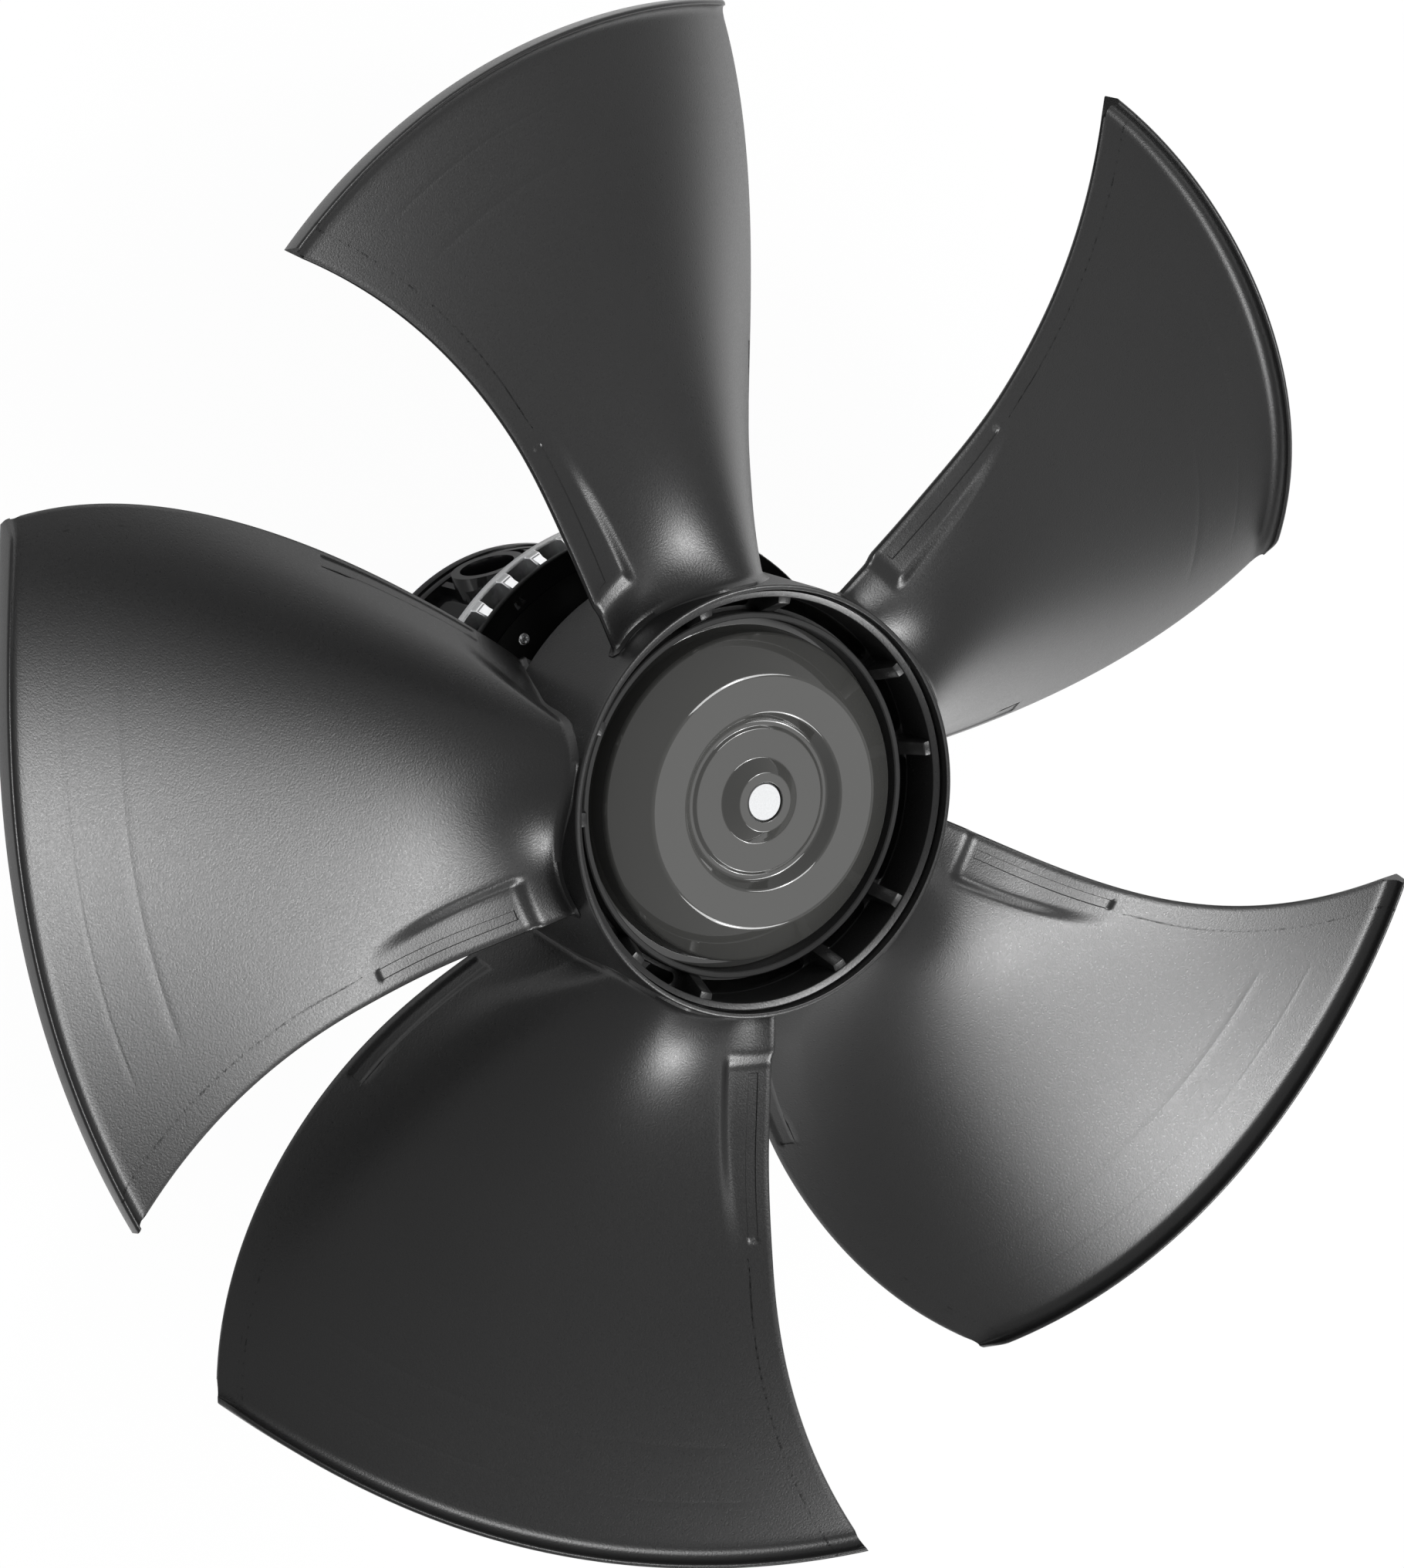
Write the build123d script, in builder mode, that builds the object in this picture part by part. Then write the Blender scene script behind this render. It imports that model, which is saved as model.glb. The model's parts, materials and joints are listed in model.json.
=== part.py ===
import os
from math import cos, hypot, pi, radians, sin

from build123d import *

os.makedirs("parts", exist_ok=True)

# An axial fan: a five-bladed moulded impeller on an external-rotor motor with built-in electronics.
# Millimetres. +Z is the fan's axis and points to its front. z = 0 is the rear face of the end cap.

# ---- Impeller ----
impeller_diameter = 798.0
blade_count = 5
barrel_length = 82.0
barrel_draft = 2.0
barrel_wall = 4.5
rim_width = 7.7
rim_edge = 0.7
rim_top_width = 3.4
rim_step_height = 5.5
rim_step_land = 3.9
rim_lip_drop = 10.0
pocket_width = 9.68
pocket_depth = 31.0
floor_thickness = 4.0
sleeve_wall = 1.9
hub_rib_angles = (36.0, 62.0)
hub_rib_width = 7.0
hub_rib_facet = 3.5
rear_rib_width = 3.0
rear_rib_setback = 4.0
floor_slot_width = 6.7
floor_slot_wall = 2.2

# ---- Blade ----
# The blade's front skin is set out on cylinders. A station holds a share of the span,
# then the angle in degrees and the height of the blade's edge above the rotor's nose.
rear_edge = [(0.0, 24.6, -72.0), (0.25, 25.7, -112.5), (0.5, 28.7, -125.0),
             (0.75, 32.8, -122.5), (1.0, 38.5, -106.5)]
front_edge = [(0.0, 87.4, -14.5), (0.25, 82.1, -2.5), (0.5, 81.1, 5.0),
              (0.75, 83.3, 11.5), (1.0, 87.7, 19.0)]
blade_root_offset = 0.3
blade_camber = 21.0
root_camber = 26.0
root_swell_span = 0.35
blade_root_thickness = 6.5
blade_tip_thickness = 3.8
edge_thickness_share = 0.45
blade_root_sink = 2.3
winglet_height = 8.5
winglet_width = 3.0
front_pad_depth = 1.9
rear_pad_depth = 1.5
pad_overlap = 0.03
skin_groove_depth = 0.6
skin_groove_width = 6.0

# ---- Insert ring and rotor can ----
insert_wall = 3.3
insert_length = 42.0
insert_setback = 22.0
can_radius = 91.0
can_wall = 5.0
can_front_radius = 12.0
annulus_inner_radius = 45.5
annulus_slope_width = 18.0
annulus_slope_inset = 10.5
annulus_slope_depth = 15.0
dish_radius = 37.6
dish_depth = 5.0
boss_radius = 15.2
boss_foot_radius = 22.0
boss_height = 6.0
nose_web = 5.0
inner_boss_radius = 20.0
spigot_length = 4.0

# ---- Shaft and bearings ----
shaft_diameter = 20.0
shaft_recess = 0.6
shaft_tail = 3.0
shaft_chamfer = 0.8
bearing_outer_diameter = 42.0
bearing_width = 12.0
bearing_inner_ring_wall = 3.5
bearing_play = 0.1
bearing_groove = 0.6
bearing_shoulder = 2.5
washer_gap = 1.6
washer_thickness = 0.6
retaining_ring_thickness = 1.2
retaining_ring_height = 3.0
fit_clearance = 0.02

# ---- Stator ----
tooth_count = 12
stack_length = 55.0
air_gap = 1.0
yoke_radius = 40.0
tooth_width = 12.0
shoe_depth = 4.5
slot_opening = 4.0
magnet_count = 10
magnet_overhang = 1.0
magnet_thickness = 8.98
magnet_gap = 1.5
insulator_thickness = 1.5
insulator_wall = 2.0
coil_thickness = 4.5
coil_overhang = 5.0
coil_corner = 3.5
coil_side_gap = 0.3
coil_end_gap = 1.0

# ---- Flange, splash plate and guard ring ----
flange_radius = 131.0
flange_thickness = 6.0
flange_edge = 1.5
tube_radius = 27.0
tube_foot_radius = 38.0
tube_foot_height = 6.0
fin_count = 40
fin_width = 4.5
fin_height = 10.5
fin_inner_radius = 92.0
fin_setback = 1.0
plate_radius = 113.7
plate_thickness = 3.0
plate_screw_count = 6
plate_screw_angle = 88.6
plate_screw_radius = 102.5
plate_screw_head = 3.0
plate_screw_shank = 1.75
plate_screw_length = 9.0
plate_screw_recess = 1.2
plate_boss_radius = 5.5
guard_radius = 127.7
guard_rise = 4.0
guard_seam = 0.2
guard_rim = 3.4
guard_foot = 3.1
window_radius = 119.0
window_angle = 83.1
window_pitch = 2.0
window_length = 2.6
window_height = 4.6
mount_count = 4
mount_circle_radius = 118.0
mount_drill_radius = 3.4
mount_depth = 13.0
mount_boss_radius = 6.5
mount_angle = 49.5

# ---- Electronics housing and end cap ----
housing_length = 113.0
housing_radius = 94.0
housing_wall = 3.5
housing_rib_count = 24
housing_rib_height = 7.0
housing_rib_width = 4.0
housing_rib_setback = 14.0
land_height = 8.0
rear_land_width = 11.0
front_land_width = 9.5
front_land_height = 6.0
entry_angle = 61.0
entry_offset = 8.8
entry_bore_radius = 15.0
entry_boss_radius = 20.0
entry_boss_height = 10.0
entry_setback = 31.0
housing_screw_count = 6
housing_screw_inset = 7.0
housing_screw_head = 3.4
housing_screw_shank = 2.0
housing_screw_length = 11.0
screw_head_height = 2.4
cap_overhang = 0.7
cap_height = 9.0
cap_floor = 3.5
cap_edge = 2.5
cap_spigot_height = 3.0
cap_spigot_wall = 3.0
cap_spigot_gap = 0.2
gasket_inset = 8.0
gasket_width = 3.0
gasket_depth = 2.0
cap_screw_count = 6
cap_screw_outset = 2.0
cap_screw_angle = 30.0
cap_screw_head = 3.6
cap_screw_shank = 2.0
cap_screw_sink = 3.0
cap_screw_length = 12.0

# ---- Electronics ----
standoff_height = 12.0
standoff_radius = 4.0
standoff_angle = 45.0
standoff_inset = 8.0
board_gap = 10.5
board_thickness = 1.6
board_screw_shank = 1.5
board_screw_head = 2.8
board_screw_length = 8.0
capacitor_radius = 11.0
capacitor_length = 42.0
capacitor_pitch = 28.0
capacitor_inset = 35.0
choke_radius = 19.0
choke_hole_radius = 8.0
choke_height = 16.0
choke_shift = 8.0
choke_inset = 38.0
module_size = (62.0, 42.0)
module_place = (-6.0, 0.0)
thermal_pad_thickness = 1.0
terminal_size = (44.0, 15.0, 18.0)
terminal_inset = 28.0
terminal_ways = 5
terminal_way_depth = 9.0
terminal_way_share = 0.55
lead_radius = 1.5
lead_circle_radius = 56.0
lead_angles = (-5.0, 0.0, 5.0)
grommet_wall = 2.5
grommet_flange = 1.5
grommet_lip = 1.2

# ---- Stations along the axis ----
housing_rear_z = cap_height
flange_rear_z = housing_rear_z + housing_length
flange_front_z = flange_rear_z + flange_thickness
fin_top_z = flange_front_z + fin_height
plate_front_z = fin_top_z + plate_thickness
guard_rim_z = plate_front_z + guard_rise
stator_lift = 18.5
stack_rear_z = plate_front_z + stator_lift
stack_front_z = stack_rear_z + stack_length
tube_front_gap = 11.0
tube_front_z = stack_front_z + tube_front_gap
front_bearing_seat = 2.0
front_bearing_front_z = tube_front_z - front_bearing_seat
front_bearing_rear_z = front_bearing_front_z - bearing_width
rear_bearing_offset = 0.4
rear_bearing_rear_z = flange_front_z + rear_bearing_offset
rear_bearing_front_z = rear_bearing_rear_z + bearing_width
rear_shoulder_z = rear_bearing_front_z + washer_gap
nose_length = 38.0
rotor_nose_z = front_bearing_front_z + nose_length
can_rear_gap = 7.5
can_rear_z = plate_front_z + can_rear_gap
annulus_z = rotor_nose_z - 1.0
dish_z = annulus_z - dish_depth
barrel_front_z = rotor_nose_z + 2.0
barrel_rear_z = barrel_front_z - barrel_length
floor_front_z = barrel_front_z - pocket_depth
floor_rear_z = floor_front_z - floor_thickness
insert_front_z = barrel_front_z - insert_setback
insert_rear_z = insert_front_z - insert_length

impeller_radius = impeller_diameter / 2
shaft_radius = shaft_diameter / 2
seat_radius = bearing_outer_diameter / 2
insert_radius = can_radius + fit_clearance + insert_wall
pocket_radius = insert_radius + pocket_width
barrel_front_radius = pocket_radius + rim_width
barrel_rear_radius = barrel_front_radius + barrel_draft
rim_step_radius = barrel_front_radius - rim_top_width
blade_root_radius = barrel_front_radius + blade_root_offset
housing_rib_radius = housing_radius + housing_rib_height
rear_land_inner_radius = housing_radius - rear_land_width
front_land_inner_radius = housing_radius - front_land_width
entry_reach = housing_radius + entry_boss_height
housing_screw_radius = housing_radius - housing_screw_inset
cap_radius = housing_rib_radius + cap_overhang
gasket_radius = housing_radius - gasket_inset
cap_screw_radius = housing_radius + cap_screw_outset
board_radius = housing_radius - housing_wall - board_gap
standoff_circle_radius = board_radius - standoff_inset
capacitor_places = [(capacitor_inset - board_radius, capacitor_pitch * row) for row in (-1, 0, 1)]
choke_place = (choke_shift, choke_inset - board_radius)
terminal_radius = board_radius - terminal_inset
magnet_outer_radius = can_radius - can_wall - fit_clearance
magnet_inner_radius = magnet_outer_radius - magnet_thickness
core_radius = magnet_inner_radius - air_gap
annulus_slope_radius = can_radius - annulus_slope_inset
annulus_outer_radius = annulus_slope_radius - annulus_slope_width


def radial_plane(angle):
    # Local x runs outwards at this angle and local y runs along the fan's axis.
    turn = radians(angle)
    return Plane(origin=(0, 0, 0), x_dir=(cos(turn), sin(turn), 0), z_dir=(sin(turn), -cos(turn), 0))


def facing_plane(angle, radius, height=0.0, shift=0.0):
    # A plane that faces outwards at this angle and radius, with local y along the fan's axis.
    turn = radians(angle)
    outwards, along = Vector(cos(turn), sin(turn), 0), Vector(-sin(turn), cos(turn), 0)
    return Plane(origin=outwards * radius + along * shift + Vector(0, 0, height), x_dir=along, z_dir=outwards)


def every(count, first=0.0):
    return [first + 360.0 / count * place for place in range(count)]


def through_stations(stations, span, column):
    # The smooth curve through all stations of one blade edge.
    total = 0.0
    for here in stations:
        weight = here[column]
        for other in stations:
            if other is not here:
                weight *= (span - other[0]) / (here[0] - other[0])
        total += weight
    return total


def camber(span, chord):
    # Height of the blade above the straight line between its edges, as a share of the full camber.
    outer = chord * (1 - chord) * (1 + 2.6 * (1 - chord) ** 2) / 0.478
    inner = sin(pi * max(chord, 0.0) ** 0.66) ** 2
    swell = max(0.0, 1 - span / root_swell_span) ** 2
    return inner * swell + outer * (1 - swell)


def skin_place(span, chord):
    # Radius, angle and height of the blade's front skin.
    start_angle, start_z = through_stations(rear_edge, span, 1), through_stations(rear_edge, span, 2)
    end_angle, end_z = through_stations(front_edge, span, 1), through_stations(front_edge, span, 2)
    rise = (blade_camber + root_camber * max(0.0, 1 - span) ** 3) * camber(span, chord)
    radius = blade_root_radius + (impeller_radius - blade_root_radius) * span
    angle = radians(start_angle + (end_angle - start_angle) * chord)
    return radius, angle, rotor_nose_z + start_z + (end_z - start_z) * chord + rise


def skin_point(span, chord, lift):
    # A point lifted square off the skin, within the cylinder that the section lies on.
    radius, angle, height = skin_place(span, chord)
    step = 0.001
    before, after = skin_place(span, chord - step), skin_place(span, chord + step)
    around, along = radius * (after[1] - before[1]), after[2] - before[2]
    length = hypot(around, along)
    angle -= lift * along / length / radius
    height += lift * around / length
    return Vector(radius * cos(angle), radius * sin(angle), height)


def blade_thickness(span, chord):
    full = blade_root_thickness + (blade_tip_thickness - blade_root_thickness) * span
    inside = min(1.0, 8.8 * max(0.0, chord * (1 - chord))) ** 0.5
    return full * (edge_thickness_share + (1 - edge_thickness_share) * inside)


def skin_solid(spans, chords, low, high, rows, columns):
    # The solid between two lifted copies of the skin, over a run of the span and of the chord.
    # Chords is a function that gives the run's two ends at a span; low and high give its lifts.
    grids = []
    for lift in (low, high):
        grid = []
        for row in range(rows):
            span = spans[0] + (spans[1] - spans[0]) * row / (rows - 1)
            start, end = chords(span)
            shares = [0.5 - 0.5 * cos(pi * column / (columns - 1)) for column in range(columns)]
            line = [start + (end - start) * share for share in shares]
            grid.append([skin_point(span, chord, lift(span, chord)) for chord in line])
        grids.append(Face.make_surface_from_array_of_points(grid, tol=0.05, min_deg=3, max_deg=5))
    lower, upper = grids
    sides = []
    for edge in upper.edges():
        partner = lower.edges().sort_by_distance(edge.center())[0]
        sides.append(Face.make_surface_from_curves(edge, partner))
    return Solid(Shell([lower, upper] + sides))


def band(start, end, width):
    # A band of even width that runs from one (span, chord) place to another.
    def run(span):
        share = (span - start[0]) / (end[0] - start[0])
        middle = start[1] + (end[1] - start[1]) * share
        radius = blade_root_radius + (impeller_radius - blade_root_radius) * span
        half = width / 2 / (radius * radians(front_edge[0][1] - rear_edge[0][1]))
        return middle - half, middle + half
    return run


def ring_sketch_slots(count, first, width, inner, outer):
    # Straight gaps that part a ring, for use inside a sketch.
    with PolarLocations((inner + outer) / 2, count, start_angle=first):
        Rectangle(outer - inner + 2, width, mode=Mode.SUBTRACT)


# ---- Impeller: one moulding, with its blades, barrel, hub floor and ribs ----
blade_body = skin_solid(
    (-blade_root_sink / (impeller_radius - blade_root_radius), 1.0), lambda span: (0.0, 1.0),
    lambda span, chord: -blade_thickness(span, chord), lambda span, chord: 0.0, 13, 15)
winglet_span = winglet_width / (impeller_radius - blade_root_radius)
winglet = skin_solid(
    (1.0 - winglet_span, 1.0), lambda span: (0.035, 0.985),
    lambda span, chord: -blade_tip_thickness * edge_thickness_share,
    lambda span, chord: winglet_height * min(1.0, 0.3 + 6.0 * chord), 4, 13)
# Flat pads let into the skin along both edges, from near the barrel to the middle of the span.
pads = [
    skin_solid((0.085, 0.436), lambda span: (0.78 + 0.265 * span, 1.0 + pad_overlap),
               lambda span, chord: -front_pad_depth, lambda span, chord: front_pad_depth, 5, 5),
    skin_solid((0.045, 0.436), lambda span: (-pad_overlap, 0.145 - 0.135 * span),
               lambda span, chord: -rear_pad_depth, lambda span, chord: rear_pad_depth, 5, 5)]
# A shallow strip in each pad.
skin_grooves = [
    skin_solid((0.11, 0.405), band((0.11, 0.936), (0.405, 0.955), skin_groove_width),
               lambda span, chord: -front_pad_depth - skin_groove_depth,
               lambda span, chord: front_pad_depth, 5, 4),
    skin_solid((0.135, 0.405), band((0.135, 0.045), (0.405, 0.035), skin_groove_width / 2),
               lambda span, chord: -rear_pad_depth - skin_groove_depth,
               lambda span, chord: rear_pad_depth, 5, 4)]

with BuildPart() as blade:
    add(blade_body)
    add(winglet)
    for recess in pads + skin_grooves:
        add(recess, mode=Mode.SUBTRACT)

sleeve_radius = insert_radius + sleeve_wall
barrel_inner_front_radius = barrel_front_radius - barrel_wall
barrel_inner_rear_radius = barrel_rear_radius - barrel_wall
with BuildPart() as impeller:
    with BuildSketch(Plane.XZ):
        with BuildLine():
            Polyline(
                (insert_radius, floor_rear_z), (insert_radius, floor_front_z),
                (pocket_radius, floor_front_z), (pocket_radius, barrel_front_z - rim_step_height),
                (pocket_radius + rim_step_land, barrel_front_z - rim_step_height),
                (rim_step_radius, barrel_front_z), (barrel_front_radius - rim_edge, barrel_front_z),
                (barrel_front_radius, barrel_front_z - rim_lip_drop), (barrel_rear_radius, barrel_rear_z),
                (barrel_inner_rear_radius, barrel_rear_z), (barrel_inner_front_radius, floor_rear_z),
                (sleeve_radius, floor_rear_z), (sleeve_radius, insert_rear_z),
                (insert_radius, insert_rear_z), close=True)
        make_face()
    revolve(axis=Axis.Z)
    rib_angles = [turn + angle for turn in every(blade_count) for angle in hub_rib_angles]
    facet_z = barrel_front_z - rim_step_height - 1.5
    with BuildSketch(*[radial_plane(angle) for angle in rib_angles]):
        Polygon(
            (insert_radius, floor_front_z - 1), (pocket_radius + 1, floor_front_z - 1),
            (pocket_radius + 1, facet_z), (pocket_radius - hub_rib_facet, facet_z),
            (insert_radius, insert_front_z), align=None)
    extrude(amount=hub_rib_width / 2, both=True)
    with BuildSketch(*[radial_plane(angle) for angle in rib_angles]):
        Polygon(
            (sleeve_radius - sleeve_wall / 2, floor_rear_z + 1),
            (barrel_inner_front_radius + 1, floor_rear_z + 1),
            (barrel_inner_rear_radius + 1, barrel_rear_z + rear_rib_setback),
            (barrel_inner_rear_radius - 1, barrel_rear_z + rear_rib_setback),
            (sleeve_radius - sleeve_wall / 2, insert_rear_z + 1), align=None)
    extrude(amount=rear_rib_width / 2, both=True)
    slot_radius = (sleeve_radius + pocket_radius) / 2
    slot_end = (hub_rib_width / 2 + floor_slot_width / 2 + floor_slot_wall) / slot_radius * 180 / pi
    pitch = 360.0 / blade_count
    for slot_start, slot_stop in ((hub_rib_angles[0], hub_rib_angles[1]),
                                  (hub_rib_angles[1], hub_rib_angles[0] + pitch)):
        with BuildSketch(Plane.XY.offset(floor_rear_z - 1)):
            for turn in every(blade_count):
                first = turn + slot_start + slot_end
                length = slot_stop - slot_start - 2 * slot_end
                SlotArc(CenterArc((0, 0), slot_radius, first, length), floor_slot_width)
        extrude(amount=floor_thickness + 2, mode=Mode.SUBTRACT)
    with PolarLocations(0, blade_count):
        add(blade.part)
impeller.part.label = "impeller"
export_step(impeller.part, "parts/impeller.step")

with BuildPart() as hub_insert_ring:
    with BuildSketch(Plane.XY.offset(insert_rear_z)):
        Circle(insert_radius - fit_clearance)
        Circle(can_radius + fit_clearance, mode=Mode.SUBTRACT)
    extrude(amount=insert_length)
    chamfer(hub_insert_ring.edges().filter_by(GeomType.CIRCLE).group_by(Axis.Z)[-1], length=0.6)
hub_insert_ring.part.label = "hub_insert_ring"
export_step(hub_insert_ring.part, "parts/hub_insert_ring.step")

# ---- Rotor ----
shoulder_z = annulus_z - annulus_slope_depth
inner_can_radius = can_radius - can_wall
with BuildPart() as rotor_can:
    with BuildSketch(Plane.XZ):
        with BuildLine():
            Polyline(
                (can_radius, can_rear_z), (can_radius, shoulder_z), (annulus_slope_radius, shoulder_z),
                (annulus_outer_radius, annulus_z), (annulus_inner_radius, annulus_z),
                (dish_radius, dish_z), (boss_foot_radius, rotor_nose_z - boss_height),
                (boss_radius, rotor_nose_z), (shaft_radius + fit_clearance, rotor_nose_z),
                (shaft_radius + fit_clearance, front_bearing_front_z),
                (shaft_radius + bearing_inner_ring_wall, front_bearing_front_z),
                (shaft_radius + bearing_inner_ring_wall, front_bearing_front_z + spigot_length),
                (inner_boss_radius, front_bearing_front_z + spigot_length),
                (inner_boss_radius, dish_z - nose_web), (dish_radius + 2, dish_z - nose_web),
                (annulus_inner_radius + 2, annulus_z - nose_web),
                (annulus_outer_radius - 2, annulus_z - nose_web),
                (annulus_slope_radius - 4, shoulder_z - nose_web + 1),
                (inner_can_radius, shoulder_z - can_front_radius), (inner_can_radius, can_rear_z),
                close=True)
        profile = make_face()
        outside = profile.vertices().filter_by_position(Axis.X, can_radius - 0.1, can_radius + 0.1)
        outside = outside.filter_by_position(Axis.Y, shoulder_z - 0.1, shoulder_z + 0.1)
        slope = profile.vertices().filter_by_position(Axis.Y, annulus_z - 0.1, annulus_z + 0.1)
        fillet(outside, radius=can_front_radius - 2)
        fillet(slope, radius=3.0)
    revolve(axis=Axis.Z)
rotor_can.part.label = "rotor_can"
export_step(rotor_can.part, "parts/rotor_can.step")

shaft_front_z = rotor_nose_z - shaft_recess
ring_rear_z = rear_bearing_rear_z - retaining_ring_thickness
shaft_rear_z = ring_rear_z - shaft_tail
with BuildPart() as rotor_shaft:
    with BuildSketch(Plane.XY.offset(shaft_rear_z)):
        Circle(shaft_radius)
    extrude(amount=shaft_front_z - shaft_rear_z)
    chamfer(rotor_shaft.edges().filter_by(GeomType.CIRCLE), length=shaft_chamfer)
    with BuildSketch(Plane.XY.offset(ring_rear_z)):
        Circle(shaft_radius + 1)
        Circle(shaft_radius - 0.8, mode=Mode.SUBTRACT)
    extrude(amount=retaining_ring_thickness, mode=Mode.SUBTRACT)
rotor_shaft.part.label = "rotor_shaft"
export_step(rotor_shaft.part, "parts/rotor_shaft.step")

with BuildPart() as shaft_retaining_ring:
    with BuildSketch(Plane.XY.offset(ring_rear_z)):
        Circle(shaft_radius - 0.8 + retaining_ring_height)
        Circle(shaft_radius - 0.8 + fit_clearance, mode=Mode.SUBTRACT)
        with Locations((shaft_radius + 1, 0)):
            Rectangle(retaining_ring_height * 2, 6.0, mode=Mode.SUBTRACT)
    extrude(amount=retaining_ring_thickness)
shaft_retaining_ring.part.label = "shaft_retaining_ring"
export_step(shaft_retaining_ring.part, "parts/shaft_retaining_ring.step")

with BuildPart() as rotor_magnets:
    with BuildSketch(Plane.XY.offset(stack_rear_z - magnet_overhang)):
        Circle(magnet_outer_radius)
        Circle(magnet_inner_radius, mode=Mode.SUBTRACT)
        ring_sketch_slots(magnet_count, 0.0, magnet_gap, magnet_inner_radius, magnet_outer_radius)
    extrude(amount=stack_length + 2 * magnet_overhang)
rotor_magnets.part.label = "rotor_magnets"
export_step(rotor_magnets.part, "parts/rotor_magnets.step")

# ---- Bearings: an inner ring that turns with the shaft, and an outer ring with its seals ----
bearing_split = shaft_radius + bearing_inner_ring_wall
for place, rear_z in (("front", front_bearing_rear_z), ("rear", rear_bearing_rear_z)):
    with BuildPart() as inner_ring:
        with BuildSketch(Plane.XY.offset(rear_z)):
            Circle(bearing_split)
            Circle(shaft_radius + fit_clearance, mode=Mode.SUBTRACT)
        extrude(amount=bearing_width)
    inner_ring.part.label = place + "_bearing_inner_ring"
    export_step(inner_ring.part, "parts/" + inner_ring.part.label + ".step")

    with BuildPart() as outer_ring:
        with BuildSketch(Plane.XY.offset(rear_z)):
            Circle(seat_radius - fit_clearance)
            Circle(bearing_split + bearing_play, mode=Mode.SUBTRACT)
        extrude(amount=bearing_width)
        for face_z, way in ((rear_z, 1), (rear_z + bearing_width, -1)):
            with BuildSketch(Plane.XY.offset(face_z)):
                Circle(seat_radius - bearing_inner_ring_wall)
                Circle(bearing_split, mode=Mode.SUBTRACT)
            extrude(amount=bearing_groove * way, mode=Mode.SUBTRACT)
    outer_ring.part.label = place + "_bearing_outer_ring"
    export_step(outer_ring.part, "parts/" + outer_ring.part.label + ".step")

shoulder_radius = seat_radius - bearing_shoulder
with BuildPart() as preload_washer:
    with BuildSketch(Plane.XZ):
        Polygon(
            (seat_radius - 0.2, rear_bearing_front_z),
            (seat_radius - 0.2, rear_bearing_front_z + washer_thickness),
            (shoulder_radius + 0.3, rear_shoulder_z),
            (shoulder_radius + 0.3, rear_shoulder_z - washer_thickness), align=None)
    revolve(axis=Axis.Z)
preload_washer.part.label = "preload_washer"
export_step(preload_washer.part, "parts/preload_washer.step")

cover_thickness = 2.0
with BuildPart() as bearing_cover:
    with BuildSketch(Plane.XY.offset(flange_rear_z)):
        Circle(seat_radius - fit_clearance)
    extrude(amount=cover_thickness)
bearing_cover.part.label = "bearing_cover"
export_step(bearing_cover.part, "parts/bearing_cover.step")

# ---- Stator winding stack ----
with BuildPart() as stator_core:
    with BuildSketch(Plane.XY.offset(stack_rear_z)):
        Circle(core_radius)
        Circle(core_radius - shoe_depth, mode=Mode.SUBTRACT)
        slot_first = 180.0 / tooth_count
        ring_sketch_slots(tooth_count, slot_first, slot_opening, core_radius - shoe_depth, core_radius)
        Circle(yoke_radius)
        tooth_length = core_radius - shoe_depth / 2 - tube_radius
        with PolarLocations(tube_radius + tooth_length / 2, tooth_count):
            Rectangle(tooth_length, tooth_width)
        Circle(tube_radius + fit_clearance, mode=Mode.SUBTRACT)
    extrude(amount=stack_length)
stator_core.part.label = "stator_core"
export_step(stator_core.part, "parts/stator_core.step")

coil_inner_radius = yoke_radius + insulator_wall + coil_end_gap
coil_outer_radius = core_radius - shoe_depth - insulator_wall - coil_end_gap
insulator_width = tooth_width + 2 * coil_side_gap
wall_height = insulator_thickness + coil_overhang + 1
wall_middle = core_radius - shoe_depth - insulator_wall / 2
for place, face_z, way in (("front", stack_front_z, 1), ("rear", stack_rear_z, -1)):
    with BuildPart() as insulator:
        with BuildSketch(Plane.XY.offset(face_z)):
            Circle(yoke_radius)
            with PolarLocations(tube_radius + (wall_middle - tube_radius) / 2, tooth_count):
                Rectangle(wall_middle - tube_radius, insulator_width)
            Circle(tube_radius + 1, mode=Mode.SUBTRACT)
        extrude(amount=insulator_thickness * way)
        with BuildSketch(Plane.XY.offset(face_z)):
            Circle(wall_middle + insulator_wall / 2)
            Circle(wall_middle - insulator_wall / 2, mode=Mode.SUBTRACT)
            ring_sketch_slots(tooth_count, slot_first, slot_opening * 2,
                              wall_middle - insulator_wall, wall_middle + insulator_wall)
            Circle(yoke_radius + insulator_wall)
            Circle(yoke_radius, mode=Mode.SUBTRACT)
            Circle(tube_radius + 1, mode=Mode.SUBTRACT)
        extrude(amount=wall_height * way)
    insulator.part.label = "insulator_" + place
    export_step(insulator.part, "parts/" + insulator.part.label + ".step")

coil_rear_z = stack_rear_z - insulator_thickness
coil_front_z = stack_front_z + insulator_thickness
coil_half_width = insulator_width / 2 + coil_side_gap
with BuildPart() as stator_windings:
    coil_planes = [facing_plane(angle, coil_inner_radius, (coil_rear_z + coil_front_z) / 2)
                   for angle in every(tooth_count)]
    with BuildSketch(*coil_planes):
        RectangleRounded(2 * (coil_half_width + coil_thickness),
                         coil_front_z - coil_rear_z + 2 * coil_overhang, coil_corner)
        Rectangle(2 * coil_half_width, coil_front_z - coil_rear_z, mode=Mode.SUBTRACT)
    extrude(amount=coil_outer_radius - coil_inner_radius)
stator_windings.part.label = "stator_windings"
export_step(stator_windings.part, "parts/stator_windings.step")

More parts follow.
